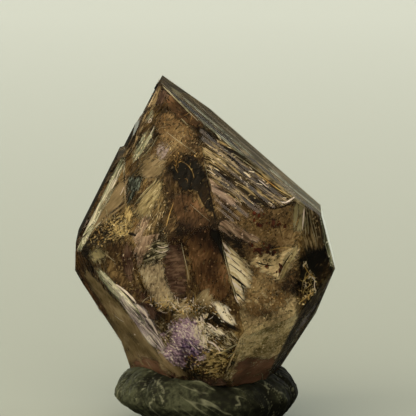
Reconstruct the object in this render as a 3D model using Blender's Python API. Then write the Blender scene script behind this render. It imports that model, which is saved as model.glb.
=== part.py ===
"""Amethyst scepter crystal standing in a wad of mineral tack.

The crystal is one solid: a stout quartz head that overhangs the neck of the stem it grew on.
Every flat face is a plane given the way a crystallographer gives it: its azimuth round the
c axis, its tilt away from that axis, and its distance from the crystal's centre.  Growth
layers, growth grooves, chips and the narrower neck are then joined to the head or cut from
it.  The tack is a kneaded lump with a flat underside, and the crystal's foot is pressed into
it.

Frame: metres, +Z up, -Y to the front, origin on the ground under the middle of the object.
"""

import math

import bmesh
import bpy
from mathutils import Matrix, Vector, noise

MM = 0.001

# Quartz: tilt of a rhombohedral face and of a prism face away from the c axis, in degrees.
RHOMB = 51.79
PRISM = 90.0

# The left rhombohedral face grew a little flatter than it should, as vicinal faces do.
LEFT_TILT = 49.1

# How the crystal stands: its c axis leans to the left, and it is turned a little round it.
LEAN = 14.3
TURN = -0.8
CENTRE = Vector((0.4, 2.2, 22.0)) * MM
BASE_HEIGHT = 3.6 * MM
BLOCK = 90 * MM

# Faces of the head: azimuth (degrees), tilt (degrees), distance from the centre (mm).
HEAD_FACES = {
    "rhomb_right": (0, RHOMB, 15.7),
    "rhomb_back_right": (60, RHOMB, 20.5),
    "rhomb_back_left": (120, RHOMB, 21.4),
    "rhomb_left": (180, LEFT_TILT, 16.78),
    "worn_left": (181, 73, 17.72),
    "rhomb_front_left": (240, RHOMB, 17.0),
    "rhomb_front_right": (300, RHOMB, 20.2),
    "prism_right": (0, PRISM, 16.8),
    "prism_back_right": (43.5, PRISM, 10.6),
    "prism_back_left": (120, PRISM, 14.6),
    "prism_front_left": (240, PRISM, 16.05),
    "prism_front_right": (300, PRISM, 19.9),
    "bevel_right": (313.6, 96.6, 20.0),
    "corner_left": (181, 104, 15.85),
    "corner_right": (1, 122, 15.9),
}

# Faces of the head's underside, where it tapers to the stem.
UNDER_FACES = {
    "under_left": (213, 107, 15.4),
    "under_front": (233, 106, 16.1),
    "under_front_right": (303, 137.5, 18.65),
    "under_right": (340.5, 135, 16.25),
    "under_right_low": (12.5, 137, 15.1),
    "under_back": (96, 124, 15.6),
    "broken_base": (208, 161, 16.4),
}

# The neck: the head's overhang on the left ends where it meets the steeper stem.
OVERHANG = (181, 108.8, 15.3)
STEM_LEFT = (181, 91.7, 13.95)

# A gentle growth step near the tip on the left rhombohedral face: the slope that ends the
# missing layer, as tilt (degrees) and distance (mm), and the distance of the face that is left.
TIP_STEP_SLOPE = (35.0, 19.0)
TIP_FACE = 16.54

# A younger layer that wraps the left edge, thicker below its own step (mm).
LAYER_TOP = 17.2
LAYER_DISTANCE = 17.32
LAYER_FRONT = 17.35
LAYER_SIDE = (336, 81, -1.5)
LAYER_FOOT = (284.5, 132, -2.1)
LAYER_BACK = 7.0

# Growth grooves: the face they cross, the face whose edge they follow, first and last offset
# from that edge (mm), count, width and depth (mm).
GROOVE_SETS = (
    ("rhomb_front_right", "rhomb_right", 1.0, 9.6, 8, 0.62, 0.20),
    ("rhomb_right", "rhomb_front_right", 1.6, 6.4, 4, 0.50, 0.12),
)
GROOVE_LENGTH = 60.0

# Chips knocked off the corners: position in the crystal's own frame and radius (mm).
CHIPS = (
    ((-16.9, -3.2, -6.6), 1.5),
    ((-16.2, -1.0, -7.6), 0.9),
    ((15.4, -8.6, -8.2), 1.1),
    ((-10.6, -3.9, 17.6), 0.8),
)

# Mineral tack: a flattened lump, taller and fuller at its two side lobes.
TACK_CENTRE = Vector((0.4, -0.5, 0.0)) * MM
TACK_REACH = (12.4, 12.9)
TACK_MIDDLE = 4.4
TACK_DEPTH = 5.2
TACK_RISE = 3.7
TACK_LOBE_RISE = 0.5
TACK_CREASES = 9
TACK_UNDERCUT = 0.40
TACK_LEFT_UNDERCUT = 0.20
TACK_RINGS = 16
TACK_SIDES = 56
SEAT_GAP = 0.3


def crystal_axes():
    """Unit vectors of the leaning, turned crystal: its own X, Y and c axis."""
    lean = Matrix.Rotation(math.radians(-LEAN), 3, "Y")
    turn = Matrix.Rotation(math.radians(TURN), 3, "Z")
    return (lean @ turn).col


def face_normal(azimuth, tilt):
    """World normal of a face from its azimuth round the c axis and its tilt away from it."""
    across, back, along = crystal_axes()
    a, t = math.radians(azimuth), math.radians(tilt)
    return (across * math.cos(a) + back * math.sin(a)) * math.sin(t) + along * math.cos(t)


def opposite(face):
    """The same plane, facing the other way."""
    azimuth, tilt, distance = face
    return (azimuth + 180, 180 - tilt, -distance)


def material(name, colour, roughness, transmission=0.0):
    """A Principled material."""
    made = bpy.data.materials.new(name)
    made.use_nodes = True
    shader = made.node_tree.nodes["Principled BSDF"]
    shader.inputs["Base Color"].default_value = (*colour, 1.0)
    shader.inputs["Roughness"].default_value = roughness
    shader.inputs["Transmission Weight"].default_value = transmission
    shader.inputs["IOR"].default_value = 1.544 if transmission else 1.45
    return made


def mesh_object(name, shape):
    """Turn a bmesh into a linked object."""
    mesh = bpy.data.meshes.new(name)
    shape.to_mesh(mesh)
    shape.free()
    made = bpy.data.objects.new(name, mesh)
    bpy.context.collection.objects.link(made)
    return made


def convex(name, faces, grow=0.0, floor=None):
    """A block cut back to the inside of every face, each moved out by grow (mm)."""
    shape = bmesh.new()
    bmesh.ops.create_cube(shape, size=BLOCK, matrix=Matrix.Translation(CENTRE))
    planes = [(face_normal(a, t), CENTRE + face_normal(a, t) * (d + grow) * MM) for a, t, d in faces]
    if floor is not None:
        planes.append((Vector((0, 0, -1)), Vector((0, 0, floor - grow * MM))))
    for normal, point in planes:
        cut = bmesh.ops.bisect_plane(
            shape,
            geom=shape.verts[:] + shape.edges[:] + shape.faces[:],
            plane_co=point,
            plane_no=normal,
            clear_outer=True,
        )
        rim = [e for e in cut["geom_cut"] if isinstance(e, bmesh.types.BMEdge)]
        bmesh.ops.edgeloop_fill(shape, edges=rim)
    bmesh.ops.recalc_face_normals(shape, faces=shape.faces[:])
    return mesh_object(name, shape)


def combine(body, tool, operation):
    """Join a tool to a body, or cut it from the body, and keep the tool as a wire guide."""
    tool.hide_render = True
    tool.display_type = "WIRE"
    boolean = body.modifiers.new(tool.name, "BOOLEAN")
    boolean.operation = operation
    boolean.solver = "EXACT"
    boolean.object = tool


def groove_cutter(name, face, towards, first, last, count, width, depth):
    """V-shaped bars sunk in a face, side by side, that run along its edge with another face.

    Offsets are measured across the face from that edge.  One flank of each V is steeper,
    like a growth step.
    """
    azimuth, tilt, distance = HEAD_FACES[face]
    normal = face_normal(azimuth, tilt)
    on_face = CENTRE + normal * distance * MM
    azimuth, tilt, distance = HEAD_FACES[towards]
    other = face_normal(azimuth, tilt)
    along = normal.cross(other).normalized()
    across = along.cross(normal).normalized()
    gap = (CENTRE + other * distance * MM - on_face).dot(other)
    start = on_face + across * gap / across.dot(other)
    across = -across if across.dot(other) > 0 else across
    shape = bmesh.new()
    for index in range(count):
        share = index / (count - 1)
        uneven = 0.30 * math.sin(2.4 * index + 1.0)
        offset = first + (last - first) * (share + uneven / count)
        half = width * (0.5 + 0.22 * math.sin(1.7 * index))
        corners = ((-half * 2, depth), (half * 2, depth), (half * 0.35, -depth))
        ends = []
        for side in (-0.5, 0.5):
            middle = start + across * offset * MM + along * side * GROOVE_LENGTH * MM
            ring = [middle + across * x * MM + normal * y * MM for x, y in corners]
            ends.append([shape.verts.new(point) for point in ring])
        shape.faces.new(ends[0])
        shape.faces.new(reversed(ends[1]))
        for k in range(3):
            a, b = ends[0][k], ends[0][(k + 1) % 3]
            c, d = ends[1][(k + 1) % 3], ends[1][k]
            shape.faces.new((b, a, d, c))
    bmesh.ops.recalc_face_normals(shape, faces=shape.faces[:])
    return mesh_object(name, shape)


def chip_cutter(name, place, radius):
    """A faceted ball that takes a shell-shaped chip off a corner."""
    across, back, along = crystal_axes()
    x, y, z = place
    shape = bmesh.new()
    where = Matrix.Translation(CENTRE + (across * x + back * y + along * z) * MM)
    bmesh.ops.create_icosphere(shape, subdivisions=2, radius=radius * MM, matrix=where)
    return mesh_object(name, shape)


def build_crystal():
    """The scepter head and its stem as one solid."""
    faces = list(HEAD_FACES.values()) + list(UNDER_FACES.values())
    crystal = convex("amethyst_crystal", faces, floor=BASE_HEIGHT)
    tip_step = [opposite((180, LEFT_TILT, TIP_FACE)), opposite((180, *TIP_STEP_SLOPE))]
    combine(crystal, convex("tip_step", tip_step), "DIFFERENCE")
    layer = [
        (180, LEFT_TILT, LAYER_DISTANCE),
        (240, RHOMB, LAYER_FRONT),
        (0, 0, LAYER_TOP),
        (90, PRISM, LAYER_BACK),
        HEAD_FACES["worn_left"],
        HEAD_FACES["corner_left"],
        HEAD_FACES["prism_back_left"],
        HEAD_FACES["rhomb_back_left"],
        LAYER_SIDE,
        LAYER_FOOT,
    ]
    combine(crystal, convex("layer", layer), "UNION")
    neck = convex("neck_notch", [opposite(OVERHANG), opposite(STEM_LEFT)])
    combine(crystal, neck, "DIFFERENCE")
    for index, groove_set in enumerate(GROOVE_SETS):
        combine(crystal, groove_cutter(f"grooves_{index}", *groove_set), "DIFFERENCE")
    for index, (place, radius) in enumerate(CHIPS):
        combine(crystal, chip_cutter(f"chip_{index}", place, radius), "DIFFERENCE")
    quartz = material("smoky_amethyst_quartz", (0.30, 0.22, 0.13), 0.03, transmission=1.0)
    crystal.data.materials.append(quartz)
    return crystal


def tack_point(side, ring):
    """A point of the tack's skin: side goes round it, ring climbs from its foot to its crown.

    The section is a flattened round, fuller at the left and right lobes and drawn in below,
    most of all on the left.  Creases run down it as folds, and slow noise makes the lump
    uneven.
    """
    round_angle = 2 * math.pi * side / TACK_SIDES
    rise = math.radians(-72 + 150 * ring / (TACK_RINGS - 1))
    direction = Vector((math.cos(round_angle), math.sin(round_angle), 0.0))
    lobe = abs(direction.x) ** 2.5
    swell = math.sin(rise)
    reach = math.hypot(TACK_REACH[0] * direction.x, TACK_REACH[1] * direction.y)
    crease = math.sin(TACK_CREASES * round_angle + 2.2 * math.sin(2 * round_angle) + 1.1 * rise)
    reach -= 0.45 * max(0.0, crease) ** 3
    reach += 0.9 * noise.noise(direction * 1.7 + Vector((0, 0, rise * 0.8)))
    radius = reach * (0.42 + 0.58 * max(0.0, math.cos(rise)) ** 0.6)
    undercut = TACK_UNDERCUT - TACK_LEFT_UNDERCUT * direction.x
    radius *= 1 - undercut * max(0.0, -swell) ** 1.3
    height = TACK_MIDDLE + swell * (TACK_RISE + TACK_LOBE_RISE * lobe if swell > 0 else TACK_DEPTH)
    return TACK_CENTRE + (direction * radius + Vector((0, 0, max(0.0, height)))) * MM


def build_tack():
    """The kneaded lump, with the crystal's foot pressed into it."""
    shape = bmesh.new()
    rings = []
    for ring in range(TACK_RINGS):
        rings.append([shape.verts.new(tack_point(side, ring)) for side in range(TACK_SIDES)])
    for low, high in zip(rings, rings[1:]):
        for side in range(TACK_SIDES):
            after = (side + 1) % TACK_SIDES
            shape.faces.new((low[side], low[after], high[after], high[side]))
    shape.faces.new(reversed(rings[0]))
    shape.faces.new(rings[-1])
    tack = mesh_object("mineral_tack", shape)
    faces = [*UNDER_FACES.values(), STEM_LEFT]
    combine(tack, convex("seat", faces, grow=SEAT_GAP, floor=BASE_HEIGHT), "DIFFERENCE")
    tack.data.materials.append(material("mineral_tack_putty", (0.11, 0.11, 0.07), 0.75))
    return tack


def main():
    for thing in list(bpy.data.objects):
        bpy.data.objects.remove(thing, do_unlink=True)
    build_crystal()
    build_tack()


main()
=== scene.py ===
"""Smoky amethyst scepter crystal in its wad of mineral tack: finishes, inclusions and stage.

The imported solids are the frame.  The crystal keeps its solid and gets the finish of clear
smoky quartz.  What grew or broke inside it is a cloudy core and, between that and the faces,
thin films, threads, scales and hairs, placed in each face's own millimetres.  The tack is
replaced by a kneaded, creased and fibrous surface that fits the same place.
"""

import math

import bpy
import numpy as np
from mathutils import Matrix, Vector


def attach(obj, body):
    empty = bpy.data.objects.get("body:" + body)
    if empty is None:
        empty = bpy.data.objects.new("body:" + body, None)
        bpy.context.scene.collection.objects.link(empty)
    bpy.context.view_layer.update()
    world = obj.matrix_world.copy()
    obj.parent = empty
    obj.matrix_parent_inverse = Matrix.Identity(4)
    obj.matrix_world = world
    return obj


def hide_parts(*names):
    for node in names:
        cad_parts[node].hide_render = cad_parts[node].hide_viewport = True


bl_info = {
    "name": "Scepter crystal",
    "version": (1, 0, 0),
    "blender": (4, 5, 0),
    "location": "3D View > Sidebar > Crystal",
    "description": "Builds a smoky amethyst scepter crystal, its inclusions and its tack",
    "category": "Object",
}

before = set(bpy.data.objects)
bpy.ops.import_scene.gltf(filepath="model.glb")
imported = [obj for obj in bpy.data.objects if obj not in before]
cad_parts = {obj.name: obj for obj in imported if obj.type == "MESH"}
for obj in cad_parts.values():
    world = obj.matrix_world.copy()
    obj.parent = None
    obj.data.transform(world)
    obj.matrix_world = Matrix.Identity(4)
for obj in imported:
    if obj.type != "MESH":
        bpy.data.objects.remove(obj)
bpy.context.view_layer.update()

MM = 0.001
QUARTZ_IOR = 1.544

# Odd numbers that a lattice cell, a seed and a sum are multiplied by to hash them.
CELL_HASH = np.array((73856093, 19349663, 83492791))
SEED_HASH = 2654435761
SUM_HASH = 1274126177

# The main view: what it looks at, from how far off and how far above level, how wide it is
# there, how many pixels wide it is drawn, and how wide the camera's sensor is (mm).
TARGET = np.array((0.5, 2.2, 29.3))
VIEW_DISTANCE = 600.0
VIEW_RISE = math.radians(8.0)
VIEW_WIDTH = 56.2
VIEW_PIXELS = 416
SENSOR = 36.0

# Inset, in mm, from which a film's ragged edge no longer reaches what is drawn.
WHOLE = 3.0

# The crystal's own axes and faces, as the solid has them: azimuth and tilt in degrees,
# distance from the centre in mm, and how deep under it the core lies (mm).
LEAN = math.radians(14.3)
TURN = math.radians(-0.8)
CENTRE = np.array((0.4, 2.2, 22.0)) * MM
RHOMB = 51.79
FACES = {
    "rhomb_right": (0, RHOMB, 15.7, 1.9),
    "rhomb_back_right": (60, RHOMB, 20.5, 2.0),
    "rhomb_back_left": (120, RHOMB, 21.4, 2.0),
    "rhomb_left": (180, 49.1, 16.78, 3.4),
    "rhomb_front_left": (240, RHOMB, 17.0, 0.8),
    "rhomb_front_right": (300, RHOMB, 20.2, 0.7),
    "prism_right": (0, 90, 16.8, 1.4),
    "prism_back_right": (43.5, 90, 10.6, 1.6),
    "prism_back_left": (120, 90, 14.6, 1.6),
    "prism_front_left": (240, 90, 16.05, 0.8),
    "prism_front_right": (300, 90, 19.9, 0.7),
    "bevel_right": (313.6, 96.6, 20.0, 0.6),
    "worn_left": (181, 73, 17.72, 3.4),
    "corner_left": (181, 104, 15.85, 1.6),
    "corner_right": (1, 122, 15.9, 1.4),
    "under_left": (213, 107, 15.4, 2.6),
    "under_front": (233, 106, 16.1, 0.7),
    "under_front_right": (303, 137.5, 18.65, 0.8),
    "under_right": (340.5, 135, 16.25, 1.2),
    "under_right_low": (12.5, 137, 15.1, 1.2),
    "under_back": (96, 124, 15.6, 1.6),
    "broken_base": (208, 161, 16.4, 0.8),
    "stem_left": (181, 91.7, 13.95, 3.0),
}


def axes():
    """The leaning, turned crystal's own X, Y and c axis as columns."""
    lean = np.array(
        (
            (math.cos(LEAN), 0, -math.sin(LEAN)),
            (0, 1, 0),
            (math.sin(LEAN), 0, math.cos(LEAN)),
        )
    )
    turn = np.array(
        (
            (math.cos(TURN), -math.sin(TURN), 0),
            (math.sin(TURN), math.cos(TURN), 0),
            (0, 0, 1),
        )
    )
    return lean @ turn


def normals():
    """Outward unit normals of the faces, one row each."""
    table = np.array(list(FACES.values()))
    a, t = np.radians(table[:, 0]), np.radians(table[:, 1])
    own = np.stack((np.cos(a) * np.sin(t), np.sin(a) * np.sin(t), np.cos(t)), axis=1)
    return own @ axes().T


def lattice_noise(points, seed):
    """Smooth noise from -1 to 1: hashed values on a unit lattice, blended with a cubic."""
    cell = np.floor(points).astype(np.int64)
    part = points - cell
    part = part * part * (3 - 2 * part)
    total = np.zeros(len(points))
    for corner in range(8):
        step = np.array((corner & 1, corner >> 1 & 1, corner >> 2 & 1))
        key = (cell + step) @ CELL_HASH + seed * SEED_HASH
        key = (key ^ (key >> 13)) * SUM_HASH
        value = ((key ^ (key >> 16)) & 0xFFFF) / 32767.5 - 1
        weight = np.prod(np.where(step == 1, part, 1 - part), axis=1)
        total += weight * value
    return total


def fractal_noise(points, octaves, seed):
    """Octaves of lattice noise, each twice as fine and half as strong."""
    return sum(lattice_noise(points * 2**k, seed + k) / 2**k for k in range(octaves))


def disc_faces(rings, sides):
    """Triangles of a disc: vertex 0 is the middle and each ring has the same number of sides."""
    j = np.arange(sides)
    k = (j + 1) % sides
    fan = np.stack((0 * j, 1 + j, 1 + k), axis=1)
    start = 1 + np.arange(rings - 1)[:, None] * sides
    return np.concatenate((fan, band_faces(start + j, start + k, sides)))


def ball_faces(rings, sides):
    """Triangles of a ball: rings from the bottom up, then the bottom pole and the top pole."""
    j = np.arange(sides)
    k = (j + 1) % sides
    start = np.arange(rings - 1)[:, None] * sides
    bottom = np.stack((0 * j + rings * sides, k, j), axis=1)
    last = (rings - 1) * sides
    top = np.stack((0 * j + rings * sides + 1, last + j, last + k), axis=1)
    sheet = band_faces(start + j, start + k, sides)
    return np.concatenate((sheet[:, ::-1], bottom, top))


def band_faces(here, beside, step):
    """Two triangles for each cell between a ring of vertices and the next one outwards."""
    a, b = here.ravel(), beside.ravel()
    first = np.stack((a, a + step, b + step), axis=1)
    return np.concatenate((first, np.stack((a, b + step, b), axis=1)))


def merge(parts):
    """One set of arrays from several of (points, faces, grain coordinates, values)."""
    starts = np.cumsum([0] + [len(part[0]) for part in parts[:-1]])
    return (
        np.concatenate([part[0] for part in parts]),
        np.concatenate([part[1] + start for part, start in zip(parts, starts)]),
        np.concatenate([part[2] for part in parts]),
        {key: np.concatenate([part[3][key] for part in parts]) for key in parts[0][3]},
    )


def mesh_object(name, points, faces, values, uv=None):
    """A smooth object from arrays of vertices and triangles, with a UV map and attributes."""
    mesh = bpy.data.meshes.new(name)
    count = len(faces)
    mesh.vertices.add(len(points))
    mesh.vertices.foreach_set("co", points.astype(np.float32).ravel())
    mesh.loops.add(count * 3)
    mesh.loops.foreach_set("vertex_index", faces.astype(np.int32).ravel())
    mesh.polygons.add(count)
    mesh.polygons.foreach_set("loop_start", np.arange(0, count * 3, 3, dtype=np.int32))
    mesh.polygons.foreach_set("use_smooth", np.full(count, True))
    if uv is not None:
        layer = mesh.uv_layers.new(name="mm")
        layer.data.foreach_set("uv", uv[faces.ravel()].astype(np.float32).ravel())
    for key, value in values.items():
        layer = mesh.attributes.new(key, "FLOAT", "POINT")
        layer.data.foreach_set("value", value.astype(np.float32))
    mesh.update(calc_edges=True)
    made = bpy.data.objects.new(name, mesh)
    bpy.context.scene.collection.objects.link(made)
    return made


def add(tree, kind, settings=None, inputs=None, stops=()):
    """Add a node, set its properties and ramp stops, and set or link its input sockets."""
    made = tree.nodes.new(kind)
    for name, value in (settings or {}).items():
        setattr(made, name, value)
    for name, value in (inputs or {}).items():
        socket = made.inputs[name]
        if isinstance(value, bpy.types.NodeSocket):
            tree.links.new(value, socket)
        else:
            socket.default_value = value
    for k, (place, colour) in enumerate(stops):
        elements = made.color_ramp.elements
        stop = elements[k] if k < 2 else elements.new(place)
        stop.position = place
        stop.color = linear(colour)
    return made


def linear(text):
    """Linear RGBA from an sRGB hex string."""
    parts = [int(text[k : k + 2], 16) / 255 for k in (0, 2, 4)]
    light = [p / 12.92 if p <= 0.04045 else ((p + 0.055) / 1.055) ** 2.4 for p in parts]
    return (*light, 1.0)


def new_material(name):
    """An empty node material and its output node."""
    made = bpy.data.materials.new(name)
    made.use_nodes = True
    made.node_tree.nodes.clear()
    return made, made.node_tree, made.node_tree.nodes.new("ShaderNodeOutputMaterial")


# Grain of the core's facets under the faces that show best: direction in degrees from level
# in the face, length over width, and how many facets there are for each vertex.
GRAIN = {
    "rhomb_front_right": (-63.0, 12.0, 0.030),
    "rhomb_front_left": (68.0, 2.6, 0.035),
    "prism_front_left": (80.0, 2.6, 0.035),
    "prism_front_right": (-35.0, 2.2, 0.040),
    "under_front": (-20.0, 1.4, 0.060),
    "under_front_right": (60.0, 1.6, 0.030),
    "bevel_right": (86.0, 4.0, 0.030),
}
PLAIN_GRAIN = (60.0, 2.2, 0.030)

# What lies in the quartz, in groups under one face each.  Depths, widths and sizes are in mm.
# Places are x, y, x, y... as they show in the main view, in the pixels of VIEW_PIXELS, and
# `seen` works out where they lie in the face.

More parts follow.
